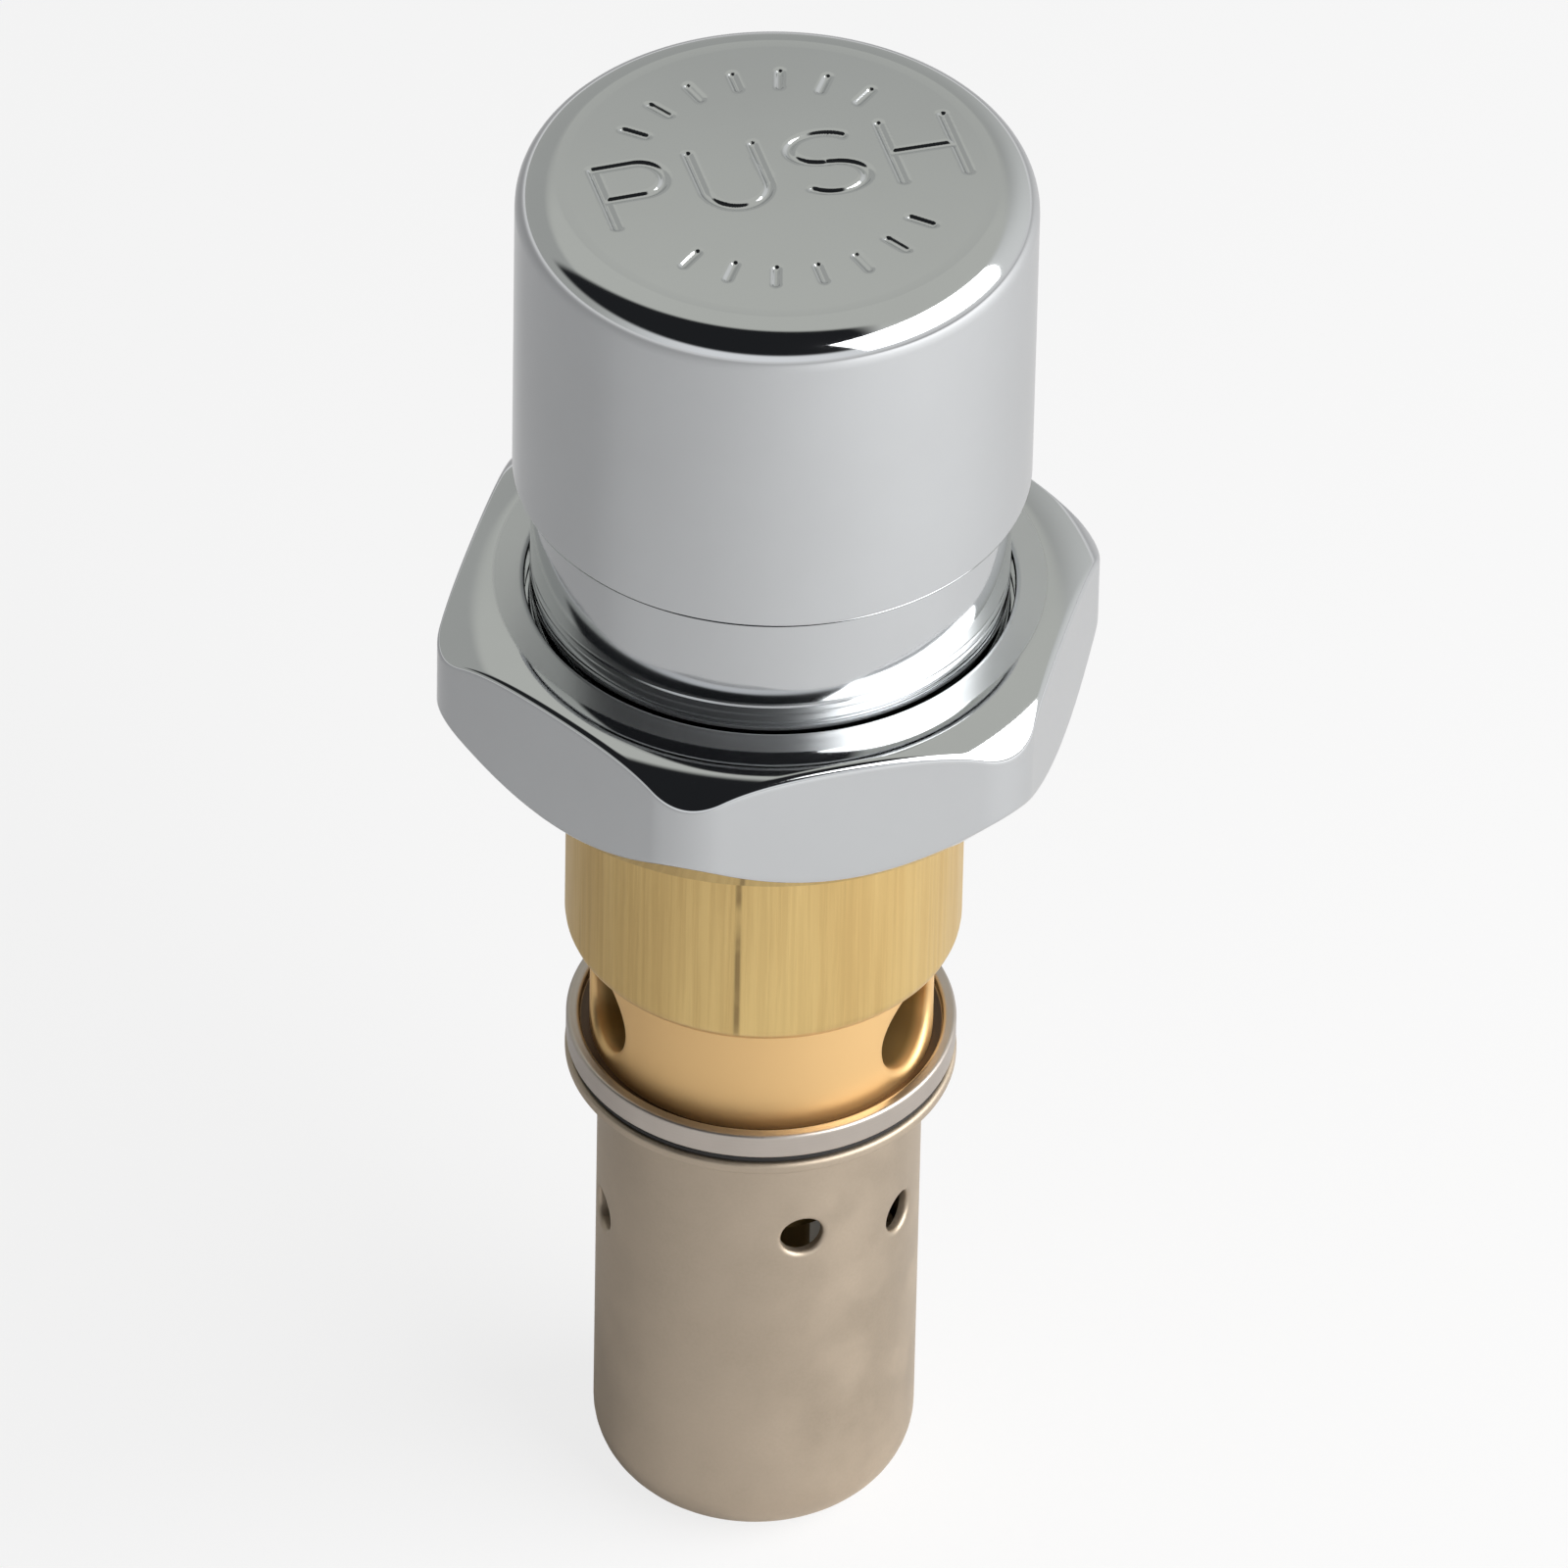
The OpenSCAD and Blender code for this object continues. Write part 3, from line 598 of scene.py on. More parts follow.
@dataclass(frozen=True)
class DrawnBrass(Finish):
    """Bare drawn brass: streaks along the axis, one dark drawing mark, and a clean turned band.

    Attributes:
        streaks: how many streaks there are round the bar, as a scale of noise.
        streak_length: length of the streaks in millimetres.
        fine_range: tones between which the fine streaks show.
        broad_range: tones between which the broad streaks show.
        fine_share: share of the fine streaks in the tone.
        groove_depth: depth of the fine streaks.
        cloud: size of the cloud that wears the mark, in millimetres.
        mark: bearing of the drawing mark in degrees.
        mark_half: half width of the mark at its core and at its edge.
        mark_colour: colour of the mark.
        wear_range: tones of the cloud between which the mark grows.
        wear: least and greatest strength of the mark.
        band_top: height below which the brass is turned clean and smooth.
        band_fade: half height of the change from the band to the wall.
        clean: colour of the clean band.
        clean_rough: least roughness of the band.
        bore: radius inside which the ports and the chamber are darkened with painted shade.
        inner_shade_fade: depth over which that painted shade sets in.
        inner_shade: colour of the painted shade inside.
    """

    streaks: float = 9.0
    streak_length: float = 160.0
    fine_range: Pair = (0.38, 0.62)
    broad_range: Pair = (0.36, 0.66)
    fine_share: float = 0.35
    groove_depth: float = 0.02 * MM
    cloud: float = 5.0
    mark: float = -3.5
    mark_half: Pair = (0.068 * MM, 0.272 * MM)
    mark_colour: Colour = (0.2, 0.13, 0.06, 1.0)
    wear_range: Pair = (0.3, 0.55)
    wear: Pair = (0.15, 0.75)
    band_top: float = 42.8 * MM
    band_fade: float = 0.3 * MM
    clean: Colour = (0.90, 0.61, 0.29, 1.0)
    clean_rough: float = 0.5
    bore: float = 9.9 * MM
    inner_shade_fade: float = 0.8 * MM
    inner_shade: Colour = (0.42, 0.29, 0.12, 1.0)

    def wire(self, board: Board, shader: bpy.types.Node, place: Socket) -> None:
        """Streaks darken the colour above the band, where they also roughen and groove it."""
        streaks = board.group(drawn_group(), Vector=place, Streaks=self.streaks, Length=self.streak_length)
        cloud = board.group(mottle_group(), Vector=place, Cloud_Size=self.cloud).outputs["Cloud"]
        x, y, z = board.parts(place)
        wall = board.span(z, (self.band_top - self.band_fade, self.band_top + self.band_fade), RISE)
        fine = board.span(streaks.outputs["Fine"], self.fine_range, RISE)
        broad = board.span(streaks.outputs["Broad"], self.broad_range, RISE)
        shares = board.product(fine, self.fine_share), board.product(broad, 1 - self.fine_share)
        tone = board.sum_up("ADD", *shares)
        colour = board.blend(wall, self.clean, board.blend(tone, self.shade, self.colour))
        # Painted shade: inside the bore radius the brass darkens, standing in for the shade inside the ports
        # and the outlet chamber.
        inside = board.span(board.radius(place), (self.bore - self.inner_shade_fade, self.bore), FALL)
        colour = board.blend(inside, colour, self.inner_shade)
        bearing = math.radians(self.mark)
        aside = board.sum_up("ADD", board.product(x, math.cos(bearing)), board.product(y, math.sin(bearing)))
        line = board.span(board.sum_up("ABSOLUTE", aside), self.mark_half, FALL)
        front = board.sum_up("LESS_THAN", y, 0.0)
        mark = board.product(line, front, board.span(cloud, self.wear_range, self.wear), wall)
        rough = board.span(tone, RISE, self.rough[::-1])
        board.fill(
            shader,
            Base_Color=board.blend(mark, colour, self.mark_colour),
            Roughness=board.sum_up("MAXIMUM", rough, board.span(wall, RISE, (self.clean_rough, 0.0))),
            Metallic=1.0,
            Normal=board.bump(board.product(fine, wall), strength=0.5, distance=self.groove_depth),
        )


@dataclass(frozen=True)
class SatinNickel(Finish):
    """Dull nickel with a cloudy tone and a blasted grain.

    Attributes:
        cloud: size of the cloud in millimetres.
        cloud_share: share of the cloud in the tone.
        grain: size of the grain in millimetres.
        relief: height of the grain.
    """

    cloud: float = 6.0
    cloud_share: float = 0.75
    grain: float = 0.22
    relief: float = 0.012 * MM

    def wire(self, board: Board, shader: bpy.types.Node, place: Socket) -> None:
        """The cloud sets colour and roughness, the grain a low bump and a speck of tone."""
        mottle = board.group(mottle_group(), Vector=place, Cloud_Size=self.cloud, Grain_Size=self.grain)
        cloud = board.span(mottle.outputs["Cloud"], NOISE, (0.0, self.cloud_share))
        speck = board.span(mottle.outputs["Grain"], NOISE, (0.0, 1 - self.cloud_share))
        tone = board.sum_up("ADD", cloud, speck)
        board.fill(
            shader,
            Base_Color=board.blend(tone, self.shade, self.colour),
            Roughness=board.span(tone, RISE, self.rough),
            Metallic=1.0,
            Normal=board.bump(mottle.outputs["Grain"], strength=0.35, distance=self.relief),
        )


@dataclass(frozen=True)
class TurnedMetal(Finish):
    """Bright metal with the fine rings of the lathe.

    Attributes:
        ring_width: width of the rings in millimetres.
        relief: height of the rings.
        cloud: size of the cloud in millimetres.
        groove: radius inside which the groove is darkened with painted shade.
        groove_shade_fade: depth over which that painted shade sets in.
        groove_shade_colour: colour of the painted shade in the groove.
    """

    ring_width: float = 0.12
    relief: float = 0.008 * MM
    cloud: float = 3.5
    groove: float = 0.0
    groove_shade_fade: float = 0.1 * MM
    groove_shade_colour: Colour = (0.10, 0.07, 0.05, 1.0)

    def wire(self, board: Board, shader: bpy.types.Node, place: Socket) -> None:
        """Rings set roughness and bump, a cloud the tone."""
        rings = board.group(lathe_group(), Vector=place, Ring_Width=self.ring_width).outputs["Rings"]
        cloud = board.group(mottle_group(), Vector=place, Cloud_Size=self.cloud).outputs["Cloud"]
        colour = board.blend(cloud, self.shade, self.colour)
        if self.groove > 0:
            # Painted shade: inside the groove radius the colour turns dark brown, standing in for the shade
            # in the ring's recess.
            inside = board.span(board.radius(place), (self.groove - self.groove_shade_fade, self.groove), FALL)
            colour = board.blend(inside, colour, self.groove_shade_colour)
        board.fill(
            shader,
            Base_Color=colour,
            Roughness=board.span(rings, NOISE, self.rough),
            Metallic=1.0,
            Normal=board.bump(rings, strength=0.3, distance=self.relief),
        )


@dataclass(frozen=True)
class Moulded(Finish):
    """Rubber, fibre or plastic with a matt moulded skin.

    Attributes:
        cloud: size of the cloud in millimetres.
        grain: size of the grain in millimetres.
        relief: height of the grain.
    """

    cloud: float = 2.5
    grain: float = 0.2
    relief: float = 0.01 * MM

    def wire(self, board: Board, shader: bpy.types.Node, place: Socket) -> None:
        """Grain and cloud set tone, roughness and bump."""
        mottle = board.group(mottle_group(), Vector=place, Cloud_Size=self.cloud, Grain_Size=self.grain)
        cloud, grain = mottle.outputs["Cloud"], mottle.outputs["Grain"]
        tone = board.product(board.sum_up("ADD", cloud, grain), 0.5)
        board.fill(
            shader,
            Base_Color=board.blend(tone, self.shade, self.colour),
            Roughness=board.span(tone, NOISE, self.rough),
            Normal=board.bump(grain, strength=0.4, distance=self.relief),
        )


RING_GROOVE = 10.9 * MM  # radius inside which the clamp ring's groove gets painted shade

FINISHES: dict[Slot, Finish] = {
    finish.slot: finish
    for finish in (
        PolishedChrome(Slot.CHROME, (0.64, 0.655, 0.665, 1.0), (0.60, 0.61, 0.62, 1.0), (0.05, 0.09)),
        DrawnBrass(Slot.BRASS, (0.84, 0.61, 0.26, 1.0), (0.66, 0.46, 0.19, 1.0), (0.34, 0.46)),
        SatinNickel(Slot.SATIN_NICKEL, (0.57, 0.48, 0.38, 1.0), (0.48, 0.40, 0.31, 1.0), (0.46, 0.58)),
        TurnedMetal(
            Slot.BRIGHT_NICKEL,
            (0.60, 0.54, 0.49, 1.0),
            (0.50, 0.45, 0.40, 1.0),
            (0.34, 0.44),
            groove=RING_GROOVE,
        ),
        TurnedMetal(Slot.STEEL, (0.62, 0.62, 0.62, 1.0), (0.50, 0.50, 0.51, 1.0), (0.18, 0.32)),
        Moulded(Slot.RUBBER, (0.022, 0.021, 0.021, 1.0), (0.010, 0.010, 0.010, 1.0), (0.5, 0.7)),
        Moulded(Slot.FIBRE, (0.36, 0.12, 0.08, 1.0), (0.22, 0.07, 0.05, 1.0), (0.7, 0.9), grain=0.35),
        Moulded(Slot.ACETAL, (0.84, 0.83, 0.78, 1.0), (0.74, 0.73, 0.68, 1.0), (0.35, 0.5)),
    )
}


@dataclass
class Piece:
    """One visible piece that stands for a CAD node.

    Attributes:
        name: name of the piece.
        node: CAD node that it stands for.
        body: body that it rides on.
        slot: finish that it wears.
        crease: angle in degrees past which an edge stays sharp.
    """

    name: str
    node: str
    body: Body
    slot: Slot
    crease: float = 40.0

    def settle(self, shell: Shell) -> bpy.types.Object:
        """Put a shell into the scene, dressed, riding on its body and standing for its node.

        Args:
            shell: the finished shape.

        Returns:
            The object.
        """
        mesh = shell.mesh(self.name, math.radians(self.crease))
        piece = bpy.data.objects.new(self.name, mesh)
        bpy.context.scene.collection.objects.link(piece)
        mesh.materials.append(FINISHES[self.slot].material())
        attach(piece, self.body.value)
        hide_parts(self.node)
        LOG.info("%s: %d faces, stands for %s", self.name, len(mesh.polygons), self.node)
        return piece


def line_distance(p: Array, q: Array, start: Pair, end: Pair) -> Array:
    """Distance of each place (p, q) from a straight stroke, to the nearest point between its ends."""
    run, rise = end[0] - start[0], end[1] - start[1]
    share = np.clip(((p - start[0]) * run + (q - start[1]) * rise) / (run**2 + rise**2), 0, 1)
    return np.hypot(p - start[0] - share * run, q - start[1] - share * rise)


def arc_distance(
    p: Array, q: Array, middle: Pair, radii: Pair, span: Pair
) -> Array:
    """Distance of each place from an arc stroke.

    The places are scaled so that the arc is round. Inside the span the distance is the gap to the circle,
    and outside it the gap to the nearer end.

    Args:
        p: places along the word.
        q: places across the word.
        middle: middle of the arc.
        radii: radius along the word and across it.
        span: first and last angle in degrees, counter-clockwise.

    Returns:
        The distances.
    """
    across, up = p - middle[0], q - middle[1]
    first, last = (math.radians(value) for value in span)
    angle = np.arctan2(up / radii[1], across / radii[0])
    inside = (angle - first) % (2 * math.pi) <= last - first
    size = np.hypot(across / radii[0], up / radii[1])
    gap = np.abs(size - 1) * (radii[0] + radii[1]) / 2
    ends = [(radii[0] * math.cos(end), radii[1] * math.sin(end)) for end in (first, last)]
    gaps = [np.hypot(across - end[0], up - end[1]) for end in ends]
    return np.where(inside, gap, np.minimum(*gaps))


@dataclass
class PushButton:
    """Hollow chrome button with the engraved word and two arcs of plain tick marks on its top.

    Attributes:
        wall: wall of the button.
        mouth: wall of its wide mouth, and how deep that is.
        roof: thickness of its roof.
        fillet: radius of its top edge.
        face_room: width of the plain ring between the face and the fillet.
        lower_edge: radius of its lower edge.
        mouth_edge: radius of the inner edge of its mouth.
        camber: how far its top falls from the middle to the rim.
        boss: radius and length of the boss for the stem.
        letter: width and height of a letter.
        bowl: radius of the first letter's bowl, as a share of the height.
        letter_pitch: distance from one letter to the next.
        word_turn: turn of the word from +X, in degrees.
        word_place: middle of the word, along and across it.
        stroke: half width of a stroke at its floor and at its rim.
        depth: depth of the engraving.
        tick_ring: inner and outer radius of the tick marks.
        tick_count: tick marks in one arc.
        tick_span: angle from the first to the last of them, in degrees.
        rings: rings of the face's grid; the button has eight times as many points round it.
    """

    wall: float = 2.25 * MM
    mouth: Pair = (0.8 * MM, 6.9 * MM)
    roof: float = 2.6 * MM
    fillet: float = 2.3 * MM
    face_room: float = 0.6 * MM
    lower_edge: float = 0.35 * MM
    mouth_edge: float = 0.2 * MM
    camber: float = 0.1 * MM
    boss: Pair = (4.5 * MM, 8.0 * MM)
    letter: Pair = (3.9 * MM, 5.5 * MM)
    bowl: float = 0.27
    letter_pitch: float = 5.75 * MM
    word_turn: float = 20.0
    word_place: Pair = (0.3 * MM, 0.55 * MM)
    stroke: Pair = (0.04 * MM, 0.36 * MM)
    depth: float = 0.2 * MM
    tick_ring: Pair = (8.5 * MM, 9.9 * MM)
    tick_count: int = 7
    tick_span: float = 98.0
    rings: int = 120

    def build(self) -> bpy.types.Object:
        """Engraved top, rounded rim, wall and hollow inside, as one closed shell."""
        radius, foot, top = reach("push_button")
        stem_radius = reach("stem")[0]
        bore, roof = radius - self.wall, top - self.roof
        mouth, mouth_top = radius - self.mouth[0], foot + self.mouth[1]
        boss_radius, boss_foot = self.boss[0], roof - self.boss[1]
        face = radius - self.fillet - self.face_room
        sill, middle, rim = foot + 2 * self.lower_edge, (foot + top) / 2, top - self.camber
        angles = full_turn(8 * self.rings)
        inside = np.array([
            [0, roof], [stem_radius, roof], [stem_radius, boss_foot], [boss_radius, boss_foot],
            [boss_radius, roof], [bore, roof], [bore, mouth_top], [mouth, mouth_top], [mouth, sill],
        ])
        skirt = np.array([[mouth, sill], [mouth, foot], [radius, foot], [radius, middle]])
        crown = np.array([[radius, middle], [radius, rim], [face, rim]])
        shell = (
            self._face(face, top)
            + revolve(inside, angles, closed=False)
            + turned(skirt, np.array([0, self.mouth_edge, self.lower_edge, 0]), steps=3, angles=angles)
            + turned(crown, np.array([0, self.fillet, 0]), steps=13, angles=angles)
        )
        return Piece("button_cap", "push_button", Body.PLUNGER, Slot.CHROME).settle(shell)

    def _face(self, radius: float, top: float) -> Shell:
        """Slightly cambered top whose height falls by the engraving's depth near a stroke.

        The face is a square grid whose square rings are drawn out to circles: on ring k, the place t along
        a quarter from -k to k goes to the angle t / k of an eighth turn. The depth is full where the nearest
        stroke is closer than the floor's half width, and eases to nothing at the rim's half width.

        Args:
            radius: radius of the face.
            top: height of its middle.

        Returns:
            The face as a shell.
        """
        steps = np.arange(-self.rings, self.rings + 1)
        i, j = np.meshgrid(steps, steps, indexing="ij")
        sideways = np.abs(i) >= np.abs(j)
        ring = np.where(sideways, i, j)
        share = np.where(sideways, j, i) / np.where(ring == 0, 1, ring)
        turn = np.where(sideways, share, 2 - share) * math.pi / 4
        distance = ring * radius / self.rings
        x, y = distance * np.cos(turn), distance * np.sin(turn)
        gap = np.minimum(self._word(x, y), self._ticks(x, y))
        sunk = self.depth * (1 - smooth_step(self.stroke[0], self.stroke[1], gap))
        sunk = sunk + self.camber * (ring / self.rings) ** 2
        return Shell.over(np.stack([x, y, top - sunk], axis=-1), close_u=False)

    def _word(self, x: Array, y: Array) -> Array:
        """Distance of each place from the strokes of the word, drawn with straight lines and arcs."""
        turn = math.radians(self.word_turn)
        along = x * math.cos(turn) + y * math.sin(turn) - self.word_place[0]
        up = y * math.cos(turn) - x * math.sin(turn) - self.word_place[1]
        half_w, half_h = self.letter[0] / 2, self.letter[1] / 2
        bowl = self.bowl * self.letter[1]
        waist = half_h - 2 * bowl
        curl = half_h / 2
        p = [along - (index - 1.5) * self.letter_pitch for index in range(4)]
        flat = half_w - bowl
        lines = (
            (0, (-half_w, -half_h), (-half_w, half_h)),
            (0, (-half_w, half_h), (flat, half_h)),
            (0, (-half_w, waist), (flat, waist)),
            (1, (-half_w, half_h), (-half_w, half_w - half_h)),
            (1, (half_w, half_h), (half_w, half_w - half_h)),
            (3, (-half_w, -half_h), (-half_w, half_h)),
            (3, (half_w, -half_h), (half_w, half_h)),
            (3, (-half_w, 0), (half_w, 0)),
        )
        arcs = (
            (0, (flat, half_h - bowl), (bowl, bowl), (-90, 90)),
            (1, (0, half_w - half_h), (half_w, half_w), (180, 360)),
            (2, (0, curl), (half_w, curl), (40, 270)),
            (2, (0, -curl), (half_w, curl), (220, 450)),
        )
        gaps = [line_distance(p[letter], up, *ends) for letter, *ends in lines]
        gaps += [arc_distance(p[letter], up, *arc) for letter, *arc in arcs]
        return np.minimum.reduce(gaps)

    def _ticks(self, x: Array, y: Array) -> Array:
        """Distance of each place from the tick marks, short radial lines on both sides of the word."""
        offsets = np.linspace(-self.tick_span / 2, self.tick_span / 2, self.tick_count)
        bearings = np.radians(self.word_turn + np.concatenate([90 + offsets, 270 + offsets]))
        gaps = []
        for a in bearings:
            start, end = ((radius * math.cos(a), radius * math.sin(a)) for radius in self.tick_ring)
            gaps.append(line_distance(x, y, start, end))
        return np.minimum.reduce(gaps)


@dataclass
class CapNut:
    """Chrome hexagon nut with rounded corners, a domed top, a turned foot and a lip over the flange.

    Attributes:
        across: width across flats.
        corner: radius of the rounded corners.
        bearing: bearing of one corner in degrees.
        mouth: radius of its mouth.
        thread: radius of its threaded bore.
        lip: thickness of its lip.
        land: width of the flat land round the mouth.
        foot_land: radius where the underside's flat ring ends.
        dome: radius of the domed top beyond the land.
        foot_bevel: height of the bottom bevel at the corners.
        thread_bevel: width of the bevel at the bore's foot.
        edge: radius of the polished edge between the dome and the flats.
        edges: radii of the other edges in millimetres, from the mouth down the bore to the foot of the flats.
        guard: distance of the points that keep the land and the flats plain.
        edge_steps: points on the polished edge.
        dome_steps: points on the dome.
        angles: angles round the axis at which it is drawn.
    """

    across: float = 36.0 * MM
    corner: float = 4.3 * MM
    bearing: float = -10.0
    mouth: float = 14.45 * MM
    thread: float = 15.25 * MM
    lip: float = 1.8 * MM
    land: float = 1.95 * MM
    foot_land: float = 17.25 * MM
    dome: float = 4.5 * MM
    foot_bevel: float = 3.3 * MM
    thread_bevel: float = 0.8 * MM
    edge: float = 0.6 * MM
    edges: tuple[float, ...] = (0.35, 0.15, 0.15, 0.15, 0.2, 0.6, 0.5)
    guard: float = 0.06 * MM
    edge_steps: int = 6
    dome_steps: int = 16
    angles: Array = field(default_factory=lambda: full_turn(720))

    def outline_radius(self) -> Array:
        """Distance from the axis to the rounded hexagon at each angle.

        On a flat it is half the width over the cosine of the angle from the flat's middle. Round a corner
        whose arc has its middle m from the axis, it is m cos(d) + sqrt(r^2 - m^2 sin^2(d)), with d measured
        from the corner.

        Returns:
            One radius for each angle.
        """
        sixth = math.radians(60)
        from_corner = self.angles + math.pi / 2 - math.radians(self.bearing)
        d = (from_corner + sixth / 2) % sixth - sixth / 2
        flat = self.across / 2 / np.cos(np.abs(d) - sixth / 2)
        middle = (self.across / 2 - self.corner) / math.cos(sixth / 2)
        inside = np.maximum(self.corner**2 - (middle * np.sin(d)) ** 2, 0)
        arc = middle * np.cos(d) + np.sqrt(inside)
        flat_end = math.atan2((self.across / 2 - self.corner) * math.tan(sixth / 2), self.across / 2)
        return np.where(np.abs(d) < sixth / 2 - flat_end, arc, flat)

    def _dome(self, wall: Array, top: float) -> Array:
        """Domed top from the flats to the land.

        The dome is an arc of radius R about a point R below the land's rim. The polished edge is an arc of
        radius e that touches the flat and, from inside, the dome: its middle lies e inside the flat and
        R - e from the dome's middle. Both arcs meet at the tilt of that middle.

        Args:
            wall: distance from the axis to the flat at each angle.
            top: height of the land.

        Returns:
            Points from the flat up to the land's rim, shape (angles, points, 2).
        """
        rim, base = self.mouth + self.land, top - self.dome
        aside = wall - self.edge - rim
        rise = np.sqrt((self.dome - self.edge) ** 2 - aside**2)
        tilt = np.arctan2(rise, aside)[:, None]
        edge_turn = tilt * np.linspace(0, 1, self.edge_steps)
        dome_turn = tilt + (math.pi / 2 - tilt) * np.linspace(0, 1, self.dome_steps)[1:]
        edge_out = rim + aside[:, None] + self.edge * np.cos(edge_turn)
        edge_up = base + rise[:, None] + self.edge * np.sin(edge_turn)
        dome_out, dome_up = rim + self.dome * np.cos(dome_turn), base + self.dome * np.sin(dome_turn)
        return np.stack([np.hstack([edge_out, dome_out]), np.hstack([edge_up, dome_up])], axis=-1)

    def build(self) -> bpy.types.Object:
        """Outline of the nut at each angle: land, lip, bore, foot, flat and dome, with polished edges."""
        low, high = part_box("cap_nut")
        foot, top = low.z, high.z
        wall = self.outline_radius()
        foot_slope = self.foot_bevel / (wall.max() - self.foot_land)
        shelf = top - self.lip
        dome = self._dome(wall, top)

        def ring(radius: float, height: float) -> Array:
            """The same corner at every angle."""
            return np.broadcast_to(np.array([radius, height]), (len(self.angles), 2))

        corners = np.stack([
            ring(self.mouth + self.land - self.guard, top),
            ring(self.mouth, top),
            ring(self.mouth, shelf),
            ring(self.thread, shelf),
            ring(self.thread, foot + self.thread_bevel),
            ring(self.thread + self.thread_bevel, foot),
            ring(self.foot_land, foot),
            np.stack([wall, foot + foot_slope * (wall - self.foot_land)], axis=-1),
            dome[:, 0] - np.array([0, self.guard]),
        ], axis=1)
        rounds = np.array([0, *self.edges, 0]) * MM
        outline = np.concatenate([rounded(corners, rounds, steps=7, closed=False), dome], axis=1)
        shell = revolve(outline, self.angles)
        return Piece("hex_cap_nut", "cap_nut", Body.NUT, Slot.CHROME).settle(shell)


@dataclass
class BonnetSleeve:
    """Chrome sleeve under the button, with its wide ringed skirt and clamping flange.

    Attributes:
        wall: wall of the sleeve.
        sleeve_radius: radius of the sleeve where it guides the button.
        skirt: radius of its wide lower part, and how far that reaches into the button.
        ring_heights: heights of the turned rings above the nut.
        ring: half width and depth of a ring.
        flange: thickness of the flange.
        groove: room that the wiper ring has in its groove.
        edge: radius of its edges.
        ring_edge: radius of the edges of a ring.
        guard: distance of the points that keep the walls between its edges plain.
        angles: angles round the axis at which it is drawn.
    """

    wall: float = 1.9 * MM
    sleeve_radius: float = 12.7 * MM
    skirt: Pair = (14.15 * MM, 0.6 * MM)
    ring_heights: tuple[float, ...] = (0.4 * MM, 1.1 * MM, 1.7 * MM)
    ring: Pair = (0.16 * MM, 0.018 * MM)
    flange: float = 1.4 * MM
    groove: float = 0.03 * MM
    edge: float = 0.1 * MM
    ring_edge: float = 0.02 * MM
    guard: float = 0.01 * MM
    angles: Array = field(default_factory=lambda: full_turn(360))

    def build(self) -> bpy.types.Object:
        """Turned outline: flange, wide skirt with its rings, neck with the wiper's groove, and bore."""
        flange_radius, foot, top = reach("bonnet_sleeve")
        wiper_radius, wiper_foot, wiper_top = reach("wiper_ring")
        nut_top, button_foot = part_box("cap_nut")[1].z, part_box("push_button")[0].z
        neck, bore = self.sleeve_radius, self.sleeve_radius - self.wall
        skirt, skirt_top = self.skirt[0], button_foot + self.skirt[1]
        wiper_bore = wiper_radius - (wiper_top - wiper_foot) - self.groove
        half, depth = self.ring
        rings = [
            [skirt - (depth if side == 0 else 0), nut_top + height + side * half]
            for height in self.ring_heights
            for side in (-1, 0, 1)
        ]
        start = [[bore, foot], [flange_radius, foot]]
        start += [[radius, foot + self.flange] for radius in (flange_radius, skirt)]
        corners = np.array([
            *start, *rings, [skirt, skirt_top], [neck, skirt_top], [neck, wiper_foot - self.groove],
            [wiper_bore, wiper_foot - self.groove], [wiper_bore, wiper_top + self.groove],
            [neck, wiper_top + self.groove], [neck, top], [bore, top],
        ])
        rounds = np.full(len(corners), self.edge)
        rounds[len(start) : len(start) + len(rings)] = self.ring_edge
        shell = revolve(rounded(corners, rounds, steps=5, guard=self.guard), self.angles)
        return Piece("guide_sleeve", "bonnet_sleeve", Body.CARTRIDGE, Slot.CHROME).settle(shell)


